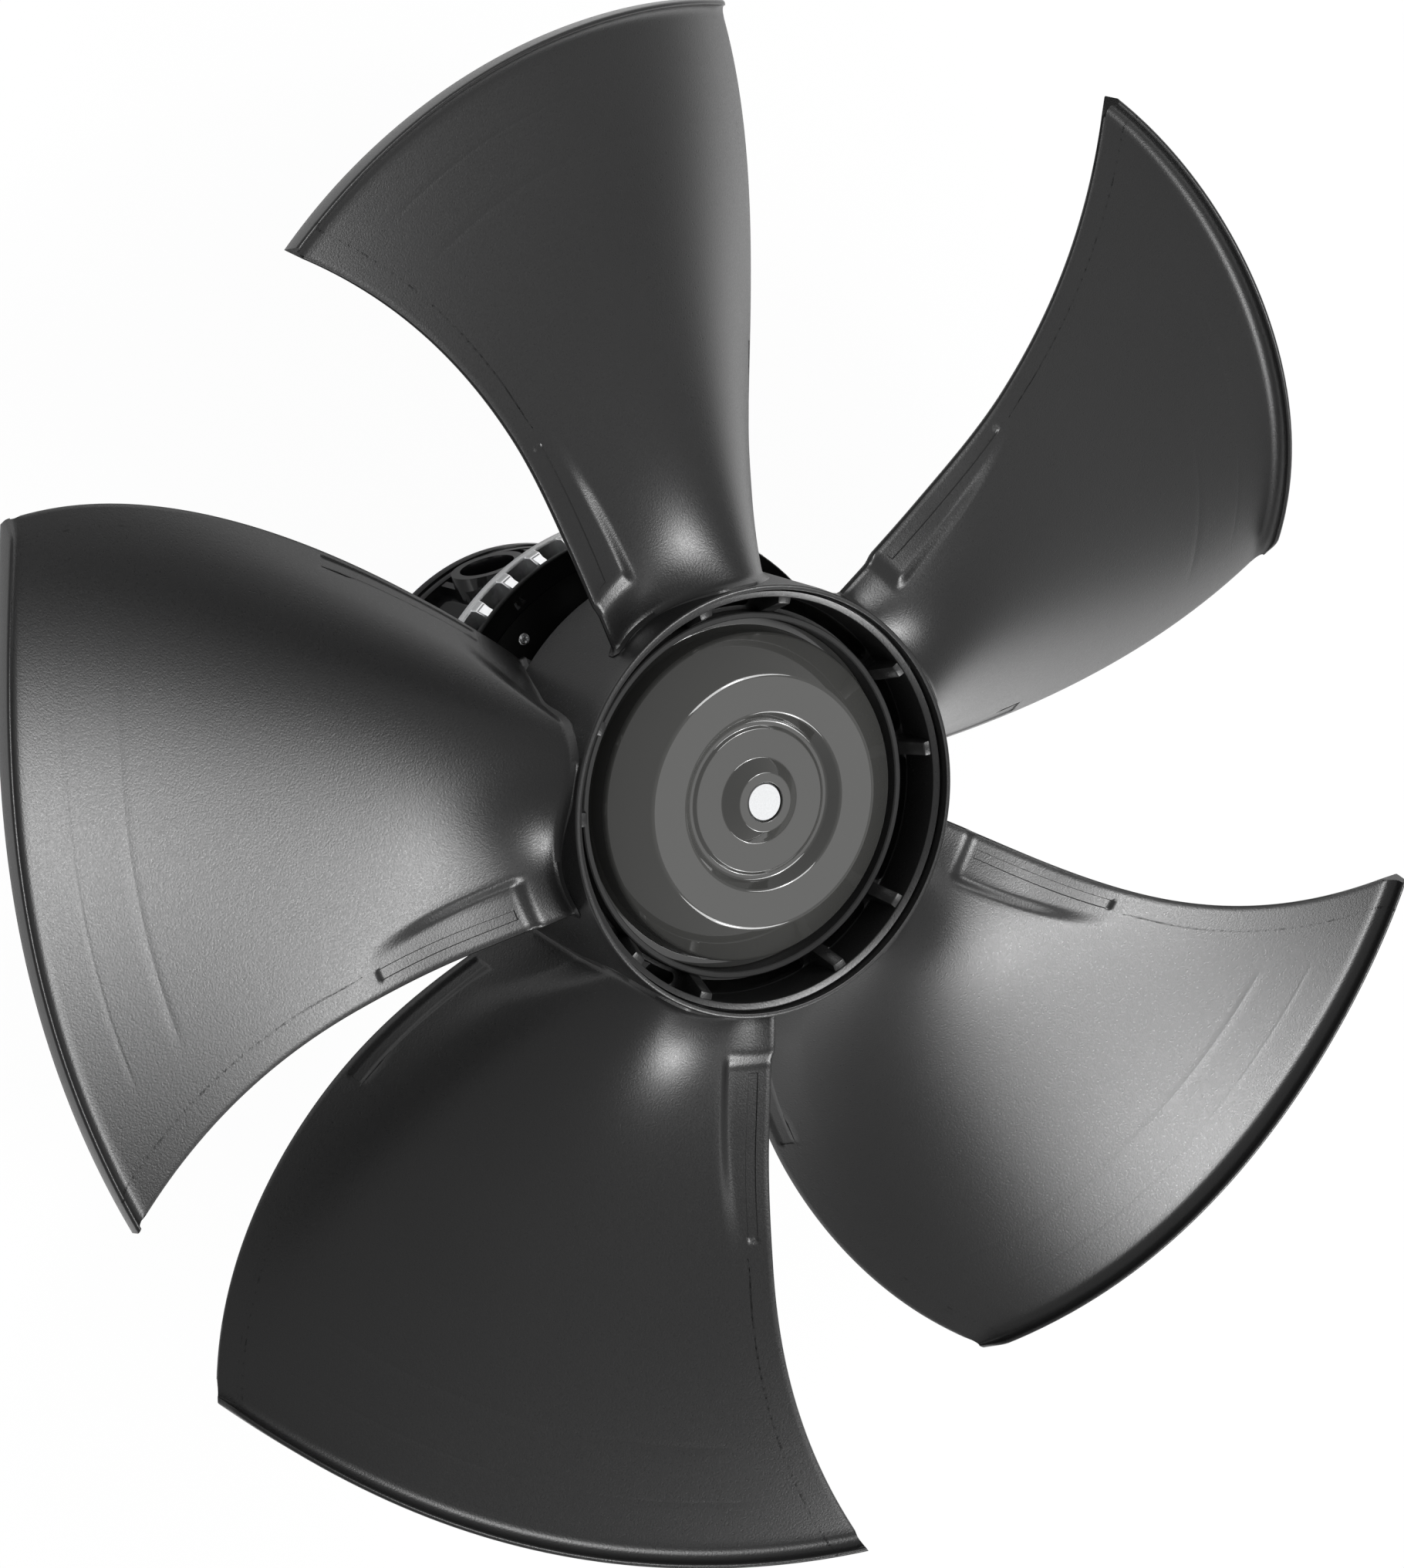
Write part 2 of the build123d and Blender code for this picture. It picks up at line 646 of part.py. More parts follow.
# ---- Flange: one casting, with the bearing tube, cooling fins, bosses and standoffs ----
plate_screw_angles = every(plate_screw_count, plate_screw_angle)
mount_angles = every(mount_count, mount_angle)
standoff_angles = every(mount_count, standoff_angle)
guard_inner_radius = plate_radius + guard_seam
guard_foot_radius = guard_inner_radius + guard_foot
fin_outer_radius = flange_radius - fin_setback
with BuildPart() as stator_flange:
    with BuildSketch(Plane.XZ):
        with BuildLine():
            Polyline(
                (seat_radius, flange_rear_z), (flange_radius - flange_edge, flange_rear_z),
                (flange_radius, flange_rear_z + flange_edge), (flange_radius, flange_front_z - flange_edge),
                (flange_radius - flange_edge, flange_front_z), (tube_foot_radius, flange_front_z),
                (tube_radius, flange_front_z + tube_foot_height), (tube_radius, tube_front_z),
                (seat_radius, tube_front_z), (seat_radius, front_bearing_rear_z),
                (shoulder_radius, front_bearing_rear_z), (shoulder_radius, rear_shoulder_z),
                (seat_radius, rear_shoulder_z), close=True)
        make_face()
    revolve(axis=Axis.Z)
    fin_slope = (guard_rim_z - guard_rim - fin_top_z) / (guard_radius - guard_foot_radius)
    fin_shoulder_radius = fin_outer_radius - 4.0
    fin_shoulder_z = fin_top_z + fin_slope * (fin_shoulder_radius - guard_foot_radius)
    with BuildSketch(*[radial_plane(angle) for angle in every(fin_count)]):
        Polygon(
            (fin_inner_radius, flange_front_z - 1), (fin_outer_radius, flange_front_z - 1),
            (fin_outer_radius, flange_front_z + fin_height / 2), (fin_shoulder_radius, fin_shoulder_z),
            (guard_foot_radius, fin_top_z), (fin_inner_radius, fin_top_z), align=None)
    extrude(amount=fin_width / 2, both=True)
    with BuildSketch(Plane.XY.offset(flange_front_z - 1)):
        for angle in plate_screw_angles:
            with Locations(Vector(plate_screw_radius, 0).rotate(Axis.Z, angle)):
                Circle(plate_boss_radius)
    extrude(amount=fin_height + 1)
    with BuildSketch(Plane.XY.offset(flange_front_z - 1)):
        for angle in mount_angles:
            with Locations(Vector(mount_circle_radius, 0).rotate(Axis.Z, angle)):
                Circle(mount_boss_radius)
    extrude(amount=fin_height + 1)
    with BuildSketch(Plane.XY.offset(flange_rear_z)):
        for angle in standoff_angles:
            with Locations(Vector(standoff_circle_radius, 0).rotate(Axis.Z, angle)):
                Circle(standoff_radius)
    extrude(amount=-standoff_height)
    with BuildSketch(Plane.XY.offset(flange_rear_z)):
        for angle in mount_angles:
            with Locations(Vector(mount_circle_radius, 0).rotate(Axis.Z, angle)):
                Circle(mount_drill_radius)
    extrude(amount=mount_depth, mode=Mode.SUBTRACT)
    with BuildSketch(Plane.XY.offset(fin_top_z)):
        for angle in plate_screw_angles:
            with Locations(Vector(plate_screw_radius, 0).rotate(Axis.Z, angle)):
                Circle(plate_screw_shank + fit_clearance)
    extrude(amount=-plate_screw_length, mode=Mode.SUBTRACT)
    with BuildSketch(Plane.XY.offset(flange_rear_z)):
        for angle in every(housing_screw_count):
            with Locations(Vector(housing_screw_radius, 0).rotate(Axis.Z, angle)):
                Circle(housing_screw_shank + fit_clearance)
    extrude(amount=housing_screw_length - front_land_height + 0.5, mode=Mode.SUBTRACT)
    with BuildSketch(Plane.XY.offset(flange_rear_z - standoff_height)):
        for angle in standoff_angles:
            with Locations(Vector(standoff_circle_radius, 0).rotate(Axis.Z, angle)):
                Circle(board_screw_shank + fit_clearance)
    extrude(amount=board_screw_length - board_thickness + 0.5, mode=Mode.SUBTRACT)
    lead_slot_length = lead_angles[-1] - lead_angles[0]
    lead_slot_width = 2 * (lead_radius + grommet_wall)
    with BuildSketch(Plane.XY.offset(flange_rear_z)):
        SlotArc(CenterArc((0, 0), lead_circle_radius, lead_angles[0], lead_slot_length), lead_slot_width)
    extrude(amount=flange_thickness, mode=Mode.SUBTRACT)
stator_flange.part.label = "stator_flange"
export_step(stator_flange.part, "parts/stator_flange.step")

with BuildPart() as lead_grommet:
    lead_arc = (lead_circle_radius, lead_angles[0], lead_slot_length)
    with BuildSketch(Plane.XY.offset(flange_rear_z - grommet_flange)):
        SlotArc(CenterArc((0, 0), *lead_arc), lead_slot_width + 2 * grommet_lip)
    extrude(amount=grommet_flange)
    with BuildSketch(Plane.XY.offset(flange_rear_z)):
        SlotArc(CenterArc((0, 0), *lead_arc), lead_slot_width - 2 * fit_clearance)
    extrude(amount=flange_thickness)
    with BuildSketch(Plane.XY.offset(flange_front_z)):
        SlotArc(CenterArc((0, 0), *lead_arc), lead_slot_width + 2 * grommet_lip)
    extrude(amount=grommet_flange)
    with BuildSketch(Plane.XY.offset(flange_rear_z - grommet_flange)):
        for angle in lead_angles:
            with Locations(Vector(lead_circle_radius, 0).rotate(Axis.Z, angle)):
                Circle(lead_radius + fit_clearance)
    extrude(amount=flange_thickness + 2 * grommet_flange, mode=Mode.SUBTRACT)
lead_grommet.part.label = "lead_grommet"
export_step(lead_grommet.part, "parts/lead_grommet.step")

board_front_z = flange_rear_z - standoff_height
board_rear_z = board_front_z - board_thickness
with BuildPart() as phase_leads:
    with BuildSketch(Plane.XY.offset(board_front_z)):
        for angle in lead_angles:
            with Locations(Vector(lead_circle_radius, 0).rotate(Axis.Z, angle)):
                Circle(lead_radius)
    extrude(amount=coil_rear_z - coil_overhang - board_front_z)
phase_leads.part.label = "phase_leads"
export_step(phase_leads.part, "parts/phase_leads.step")

with BuildPart() as splash_plate:
    with BuildSketch(Plane.XY.offset(fin_top_z)):
        Circle(plate_radius)
        Circle(tube_radius + fit_clearance, mode=Mode.SUBTRACT)
        for angle in plate_screw_angles:
            with Locations(Vector(plate_screw_radius, 0).rotate(Axis.Z, angle)):
                Circle(plate_screw_shank + 2 * fit_clearance, mode=Mode.SUBTRACT)
        SlotArc(CenterArc((0, 0), *lead_arc), lead_slot_width, mode=Mode.SUBTRACT)
    extrude(amount=plate_thickness)
    with BuildSketch(Plane.XY.offset(plate_front_z - plate_screw_recess)):
        for angle in plate_screw_angles:
            with Locations(Vector(plate_screw_radius, 0).rotate(Axis.Z, angle)):
                Circle(plate_screw_head + 0.5)
    extrude(amount=plate_screw_recess, mode=Mode.SUBTRACT)
splash_plate.part.label = "splash_plate"
export_step(splash_plate.part, "parts/splash_plate.step")

with BuildPart() as guard_ring:
    with BuildSketch(Plane.XZ):
        Polygon(
            (guard_inner_radius, fin_top_z), (guard_inner_radius, plate_front_z),
            (guard_radius - 0.8, guard_rim_z), (guard_radius, guard_rim_z - 0.8),
            (guard_radius, guard_rim_z - guard_rim), (guard_foot_radius, fin_top_z), align=None)
    revolve(axis=Axis.Z)
    window_angles = [angle + side * window_pitch / 2
                     for angle in every(plate_screw_count, window_angle) for side in (-1, 1)]
    with BuildSketch(Plane.XY.offset(fin_top_z)):
        for angle in window_angles:
            with Locations(Location(Vector(window_radius, 0).rotate(Axis.Z, angle), (0, 0, angle))):
                Rectangle(window_height, window_length)
    extrude(amount=plate_thickness + guard_rise, mode=Mode.SUBTRACT)
guard_ring.part.label = "guard_ring"
export_step(guard_ring.part, "parts/guard_ring.step")


def pan_screws(places, seat_z, way, head_radius, shank_radius, length):
    # Screws with a domed head, each as one solid: way is +1 where the heads face the front.
    with BuildPart() as screws:
        with BuildSketch(Plane.XY.offset(seat_z)):
            for place in places:
                with Locations(place):
                    Circle(head_radius)
        extrude(amount=screw_head_height * way)
        tops = screws.faces().sort_by(Axis.Z)[::-1] if way > 0 else screws.faces().sort_by(Axis.Z)
        rims = [face.outer_wire().edges()[0] for face in tops[:len(places)]]
        chamfer(rims, length=screw_head_height * 0.45)
        with BuildSketch(Plane.XY.offset(seat_z)):
            for place in places:
                with Locations(place):
                    Circle(shank_radius)
        extrude(amount=-length * way)
    return screws.part


def on_circle(radius, angles):
    return [Vector(radius, 0).rotate(Axis.Z, angle) for angle in angles]


recess_z = plate_front_z - plate_screw_recess
splash_plate_screws = pan_screws(
    on_circle(plate_screw_radius, plate_screw_angles), recess_z, 1,
    plate_screw_head, plate_screw_shank, plate_screw_length)
splash_plate_screws.label = "splash_plate_screws"
export_step(splash_plate_screws, "parts/splash_plate_screws.step")

# ---- Electronics housing ----
entry_plane = facing_plane(entry_angle, 0, housing_rear_z + entry_setback, entry_offset)
with BuildPart() as electronics_housing:
    with BuildSketch(Plane.XY.offset(housing_rear_z)):
        Circle(housing_radius)
    extrude(amount=housing_length)
    with BuildSketch(Plane.XY.offset(housing_rear_z)):
        Circle(housing_rib_radius)
    extrude(amount=land_height)
    with BuildSketch(*[radial_plane(angle) for angle in every(housing_rib_count, entry_angle)]):
        Polygon(
            (housing_radius - 1, housing_rear_z + land_height - 1),
            (housing_rib_radius - 0.5, housing_rear_z + land_height - 1),
            (housing_rib_radius - 0.5, flange_rear_z - 2 * housing_rib_setback),
            (housing_radius + 1, flange_rear_z - housing_rib_setback),
            (housing_radius - 1, flange_rear_z - housing_rib_setback), align=None)
    extrude(amount=housing_rib_width / 2, both=True)
    with BuildSketch(entry_plane):
        Circle(entry_boss_radius)
    extrude(amount=entry_reach)
    with BuildSketch(Plane.XY.offset(housing_rear_z)):
        Circle(rear_land_inner_radius)
    extrude(amount=land_height, mode=Mode.SUBTRACT)
    with BuildSketch(Plane.XY.offset(housing_rear_z + land_height)):
        Circle(housing_radius - housing_wall)
    extrude(amount=housing_length - land_height - front_land_height, mode=Mode.SUBTRACT)
    with BuildSketch(Plane.XY.offset(flange_rear_z - front_land_height)):
        Circle(front_land_inner_radius)
    extrude(amount=front_land_height, mode=Mode.SUBTRACT)
    with BuildSketch(entry_plane):
        Circle(entry_bore_radius)
    extrude(amount=entry_reach, mode=Mode.SUBTRACT)
    with BuildSketch(Plane.XY.offset(flange_rear_z - front_land_height)):
        for place in on_circle(housing_screw_radius, every(housing_screw_count)):
            with Locations(place):
                Circle(housing_screw_shank + fit_clearance)
    extrude(amount=front_land_height, mode=Mode.SUBTRACT)
    with BuildSketch(Plane.XY.offset(housing_rear_z)):
        for place in on_circle(cap_screw_radius, every(cap_screw_count, cap_screw_angle)):
            with Locations(place):
                Circle(cap_screw_shank + fit_clearance)
    extrude(amount=land_height - 1, mode=Mode.SUBTRACT)
electronics_housing.part.label = "electronics_housing"
export_step(electronics_housing.part, "parts/electronics_housing.step")

housing_screws = pan_screws(
    on_circle(housing_screw_radius, every(housing_screw_count)), flange_rear_z - front_land_height, -1,
    housing_screw_head, housing_screw_shank, housing_screw_length)
housing_screws.label = "housing_screws"
export_step(housing_screws, "parts/housing_screws.step")

# ---- End cap ----
spigot_radius = rear_land_inner_radius - cap_spigot_gap
with BuildPart() as end_cap:
    with BuildSketch(Plane.XY):
        Circle(cap_radius)
    extrude(amount=cap_height)
    chamfer(end_cap.edges().filter_by(GeomType.CIRCLE).group_by(Axis.Z)[0], length=cap_edge)
    with BuildSketch(Plane.XY.offset(cap_height)):
        Circle(spigot_radius)
    extrude(amount=cap_spigot_height)
    with BuildSketch(Plane.XY.offset(cap_floor)):
        Circle(spigot_radius - cap_spigot_wall)
    extrude(amount=cap_height, mode=Mode.SUBTRACT)
    with BuildSketch(Plane.XY.offset(cap_height - gasket_depth)):
        Circle(gasket_radius + gasket_width / 2)
        Circle(gasket_radius - gasket_width / 2, mode=Mode.SUBTRACT)
    extrude(amount=gasket_depth, mode=Mode.SUBTRACT)
    cap_screw_places = on_circle(cap_screw_radius, every(cap_screw_count, cap_screw_angle))
    with BuildSketch(Plane.XY):
        for place in cap_screw_places:
            with Locations(place):
                Circle(cap_screw_head + 0.4)
    extrude(amount=cap_screw_sink, mode=Mode.SUBTRACT)
    with BuildSketch(Plane.XY):
        for place in cap_screw_places:
            with Locations(place):
                Circle(cap_screw_shank + fit_clearance)
    extrude(amount=cap_height, mode=Mode.SUBTRACT)
end_cap.part.label = "end_cap"
export_step(end_cap.part, "parts/end_cap.step")

with BuildPart() as end_cap_gasket:
    with BuildSketch(Plane.XY.offset(cap_height - gasket_depth)):
        Circle(gasket_radius + gasket_width / 2 - fit_clearance)
        Circle(gasket_radius - gasket_width / 2 + fit_clearance, mode=Mode.SUBTRACT)
    extrude(amount=gasket_depth)
end_cap_gasket.part.label = "end_cap_gasket"
export_step(end_cap_gasket.part, "parts/end_cap_gasket.step")

end_cap_screws = pan_screws(
    cap_screw_places, cap_screw_sink, -1, cap_screw_head, cap_screw_shank, cap_screw_length)
end_cap_screws.label = "end_cap_screws"
export_step(end_cap_screws, "parts/end_cap_screws.step")

# ---- Electronics ----
with BuildPart() as circuit_board:
    with BuildSketch(Plane.XY.offset(board_rear_z)):
        Circle(board_radius)
        for place in on_circle(standoff_circle_radius, standoff_angles):
            with Locations(place):
                Circle(board_screw_shank + 2 * fit_clearance, mode=Mode.SUBTRACT)
    extrude(amount=board_thickness)
circuit_board.part.label = "circuit_board"
export_step(circuit_board.part, "parts/circuit_board.step")

board_screws = pan_screws(
    on_circle(standoff_circle_radius, standoff_angles), board_rear_z, -1,
    board_screw_head, board_screw_shank, board_screw_length)
board_screws.label = "board_screws"
export_step(board_screws, "parts/board_screws.step")

with BuildPart() as capacitors:
    with BuildSketch(Plane.XY.offset(board_rear_z)):
        for place in capacitor_places:
            with Locations(place):
                Circle(capacitor_radius)
    extrude(amount=-capacitor_length)
    chamfer(capacitors.edges().filter_by(GeomType.CIRCLE).group_by(Axis.Z)[0], length=1.0)
capacitors.part.label = "capacitors"
export_step(capacitors.part, "parts/capacitors.step")

with BuildPart() as choke:
    with BuildSketch(Plane.XY.offset(board_rear_z)):
        with Locations(choke_place):
            Circle(choke_radius)
            Circle(choke_hole_radius, mode=Mode.SUBTRACT)
    extrude(amount=-choke_height)
    chamfer(choke.edges().filter_by(GeomType.CIRCLE).group_by(Axis.Z)[0], length=2.0)
choke.part.label = "choke"
export_step(choke.part, "parts/choke.step")

with BuildPart() as power_module:
    with BuildSketch(Plane.XY.offset(board_front_z)):
        with Locations(module_place):
            Rectangle(*module_size)
    extrude(amount=standoff_height - thermal_pad_thickness)
    chamfer(power_module.edges().filter_by(Axis.Z), length=2.0)
power_module.part.label = "power_module"
export_step(power_module.part, "parts/power_module.step")

with BuildPart() as thermal_pad:
    with BuildSketch(Plane.XY.offset(flange_rear_z - thermal_pad_thickness)):
        with Locations(module_place):
            Rectangle(*module_size)
    extrude(amount=thermal_pad_thickness)
thermal_pad.part.label = "thermal_pad"
export_step(thermal_pad.part, "parts/thermal_pad.step")

terminal_turn = radians(entry_angle)
terminal_centre = (terminal_radius * cos(terminal_turn), terminal_radius * sin(terminal_turn))
with BuildPart() as terminal_block:
    with BuildSketch(Plane.XY.offset(board_rear_z)):
        with Locations(Location((*terminal_centre, 0), (0, 0, entry_angle + 90))):
            Rectangle(terminal_size[0], terminal_size[1])
    extrude(amount=-terminal_size[2])
    way_pitch = terminal_size[0] / terminal_ways
    with BuildSketch(Plane.XY.offset(board_rear_z - terminal_size[2])):
        with Locations(Location((*terminal_centre, 0), (0, 0, entry_angle + 90))):
            with GridLocations(way_pitch, 1, terminal_ways, 1):
                Circle(way_pitch * terminal_way_share / 2)
    extrude(amount=terminal_way_depth, mode=Mode.SUBTRACT)
terminal_block.part.label = "terminal_block"
export_step(terminal_block.part, "parts/terminal_block.step")
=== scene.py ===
import json
from math import cos, pi, radians, sin

import bmesh
import bpy
import numpy as np
from mathutils import Matrix, Vector


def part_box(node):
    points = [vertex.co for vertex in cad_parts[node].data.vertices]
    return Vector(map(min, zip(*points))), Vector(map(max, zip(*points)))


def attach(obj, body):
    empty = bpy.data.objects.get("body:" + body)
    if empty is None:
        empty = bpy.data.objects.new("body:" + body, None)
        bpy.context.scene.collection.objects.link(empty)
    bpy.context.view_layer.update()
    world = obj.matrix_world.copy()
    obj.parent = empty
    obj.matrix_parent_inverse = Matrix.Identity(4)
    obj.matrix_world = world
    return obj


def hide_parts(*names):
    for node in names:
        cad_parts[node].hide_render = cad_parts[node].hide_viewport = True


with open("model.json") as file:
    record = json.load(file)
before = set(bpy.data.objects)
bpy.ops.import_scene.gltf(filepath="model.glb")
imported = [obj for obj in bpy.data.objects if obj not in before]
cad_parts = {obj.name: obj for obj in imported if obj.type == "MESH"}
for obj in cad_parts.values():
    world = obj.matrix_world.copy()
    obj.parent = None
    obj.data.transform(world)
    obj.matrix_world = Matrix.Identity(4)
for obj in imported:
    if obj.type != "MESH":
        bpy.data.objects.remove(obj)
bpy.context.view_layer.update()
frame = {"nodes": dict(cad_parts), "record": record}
nodes = frame["nodes"]
mm = 0.001

# heights along the fan's axis and radii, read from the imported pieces
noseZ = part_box("rotor_can")[1][2]
tipRadius = round(max(-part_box("impeller")[0][0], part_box("impeller")[1][0],
                      -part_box("impeller")[0][1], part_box("impeller")[1][1]) / mm) * mm
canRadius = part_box("rotor_can")[1][0]
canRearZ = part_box("rotor_can")[0][2]
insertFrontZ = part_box("hub_insert_ring")[1][2]
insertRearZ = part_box("hub_insert_ring")[0][2]
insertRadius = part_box("hub_insert_ring")[1][0]
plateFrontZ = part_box("splash_plate")[1][2]
shaftRadius = 10.0 * mm
print("frame loaded:", len(nodes), "pieces")


# ---------- helpers for meshes ----------
def makePiece(name, verts, faces, smoothAngle=35):
    mesh = bpy.data.meshes.new(name)
    mesh.from_pydata([tuple(v) for v in verts], [], faces)
    mesh.update()
    obj = bpy.data.objects.new(name, mesh)
    bpy.context.scene.collection.objects.link(obj)
    tidyNormals(obj, smoothAngle)
    return obj


def tidyNormals(obj, smoothAngle=35):
    work = bmesh.new()
    work.from_mesh(obj.data)
    bmesh.ops.remove_doubles(work, verts=work.verts, dist=1e-6)
    bmesh.ops.recalc_face_normals(work, faces=work.faces)
    work.to_mesh(obj.data)
    work.free()
    obj.data.shade_smooth()
    obj.data.set_sharp_from_angle(angle=radians(smoothAngle))


def roundedOutline(corners, steps=5):
    # corners are (radius, height, rounding); each becomes an arc that meets both its sides
    points = []
    for place, (x, y, rounding) in enumerate(corners):
        here = Vector((x, y))
        before = Vector(corners[place - 1][:2]) - here
        after = Vector(corners[(place + 1) % len(corners)][:2]) - here
        if rounding <= 0:
            points.append(here)
            continue
        half = before.angle(after) / 2
        reach = min(rounding / np.tan(half), before.length * 0.49, after.length * 0.49)
        start, end = here + before.normalized() * reach, here + after.normalized() * reach
        for step in range(steps + 1):
            share = step / steps
            bend = start * (1 - share) ** 2 + here * 2 * share * (1 - share) + end * share ** 2
            points.append(bend)
    return points


def revolved(name, outline, segments=256, smoothAngle=35):
    # a closed outline of (radius, height) turned once round the fan's axis
    verts, faces, count = [], [], len(outline)
    for turn in range(segments):
        angle = 2 * pi * turn / segments
        verts += [(p[0] * cos(angle), p[0] * sin(angle), p[1]) for p in outline]
    for turn in range(segments):
        base, following = turn * count, (turn + 1) % segments * count
        for step in range(count):
            ahead = (step + 1) % count
            faces.append((base + step, base + ahead, following + ahead, following + step))
    return makePiece(name, verts, faces, smoothAngle)


def drawnOut(name, profile, halfWidth):
    # a profile of (radius, height) drawn out to both sides of its plane
    verts = [(radius, side * halfWidth(radius, height), height)
             for side in (-1, 1) for radius, height in profile]
    count = len(profile)
    faces = [tuple(range(count)), tuple(range(count, 2 * count))[::-1]]
    faces += [(i, (i + 1) % count, count + (i + 1) % count, count + i) for i in range(count)]
    return makePiece(name, verts, faces)


def joined(name, parts):
    work = bmesh.new()
    for part in parts:
        work.from_mesh(part.data)
        bpy.data.objects.remove(part)
    mesh = bpy.data.meshes.new(name)
    work.to_mesh(mesh)
    work.free()
    obj = bpy.data.objects.new(name, mesh)
    bpy.context.scene.collection.objects.link(obj)
    return obj


def settled(obj):
    # the evaluated shape becomes the piece's own plain mesh, and its modifiers go
    bpy.context.view_layer.update()
    shape = bpy.data.meshes.new_from_object(obj.evaluated_get(bpy.context.evaluated_depsgraph_get()))
    obj.modifiers.clear()
    obj.data = shape
    return obj


def link(tree, source, output, target, entry):
    tree.links.new(source.outputs[output], target.inputs[entry])


def ringTree():
    # copies of one form, spread evenly round the fan's axis
    tree = bpy.data.node_groups.new("ringOfCopies", "GeometryNodeTree")
    face = tree.interface
    face.new_socket("Form", in_out="INPUT", socket_type="NodeSocketGeometry")
    face.new_socket("Copies", in_out="INPUT", socket_type="NodeSocketInt")
    face.new_socket("Turn", in_out="INPUT", socket_type="NodeSocketFloat")
    face.new_socket("Material", in_out="INPUT", socket_type="NodeSocketMaterial")
    face.new_socket("Ring", in_out="OUTPUT", socket_type="NodeSocketGeometry")
    start, end = tree.nodes.new("NodeGroupInput"), tree.nodes.new("NodeGroupOutput")
    line = tree.nodes.new("GeometryNodeMeshLine")
    line.inputs["Offset"].default_value = (0, 0, 0)
    index, angle = tree.nodes.new("GeometryNodeInputIndex"), tree.nodes.new("ShaderNodeMath")
    angle.operation = "MULTIPLY"
    spin = tree.nodes.new("ShaderNodeCombineXYZ")
    place = tree.nodes.new("GeometryNodeInstanceOnPoints")
    real, paint = tree.nodes.new("GeometryNodeRealizeInstances"), tree.nodes.new("GeometryNodeSetMaterial")
    link(tree, start, "Copies", line, "Count")
    link(tree, index, "Index", angle, 0)
    link(tree, start, "Turn", angle, 1)
    link(tree, angle, 0, spin, "Z")
    link(tree, line, "Mesh", place, "Points")
    link(tree, start, "Form", place, "Instance")
    link(tree, spin, "Vector", place, "Rotation")
    link(tree, place, "Instances", real, "Geometry")
    link(tree, real, "Geometry", paint, "Geometry")
    link(tree, start, "Material", paint, "Material")
    link(tree, paint, "Geometry", end, "Ring")
    return tree


ringOfCopies = ringTree()


def ringed(obj, copies, material):
    modifier = obj.modifiers.new("ring", "NODES")
    modifier.node_group = ringOfCopies
    sockets = {item.name: item.identifier for item in ringOfCopies.interface.items_tree
               if item.in_out == "INPUT"}
    modifier[sockets["Copies"]] = copies
    modifier[sockets["Turn"]] = 2 * pi / copies
    modifier[sockets["Material"]] = material
    return settled(obj)


# ---------- finishes ----------
def grainGroup():
    # fine moulded or cast skin: a height for the bump, and a slow drift in tone
    tree = bpy.data.node_groups.new("skinGrain", "ShaderNodeTree")
    face = tree.interface
    for name, value in (("Grain Size", 900.0), ("Drift Size", 9.0), ("Drift", 0.3)):
        face.new_socket(name, in_out="INPUT", socket_type="NodeSocketFloat").default_value = value
    for name in ("Height", "Tone"):
        face.new_socket(name, in_out="OUTPUT", socket_type="NodeSocketFloat")
    start, end = tree.nodes.new("NodeGroupInput"), tree.nodes.new("NodeGroupOutput")
    coord = tree.nodes.new("ShaderNodeTexCoord")
    grain, drift = tree.nodes.new("ShaderNodeTexNoise"), tree.nodes.new("ShaderNodeTexNoise")
    grain.inputs["Detail"].default_value = 3.0
    drift.inputs["Detail"].default_value = 2.0
    tone = tree.nodes.new("ShaderNodeMapRange")
    low, high = tree.nodes.new("ShaderNodeMath"), tree.nodes.new("ShaderNodeMath")
    low.operation, high.operation = "SUBTRACT", "ADD"
    low.inputs[0].default_value = high.inputs[0].default_value = 1.0
    for noise in (grain, drift):
        link(tree, coord, "Object", noise, "Vector")
    link(tree, start, "Grain Size", grain, "Scale")
    link(tree, start, "Drift Size", drift, "Scale")
    link(tree, start, "Drift", low, 1)
    link(tree, start, "Drift", high, 1)
    link(tree, drift, "Fac", tone, "Value")
    tone.inputs["From Min"].default_value = 0.3
    tone.inputs["From Max"].default_value = 0.7
    link(tree, low, 0, tone, "To Min")
    link(tree, high, 0, tone, "To Max")
    link(tree, grain, "Fac", end, "Height")
    link(tree, tone, "Result", end, "Tone")
    return tree


skinGrain = grainGroup()


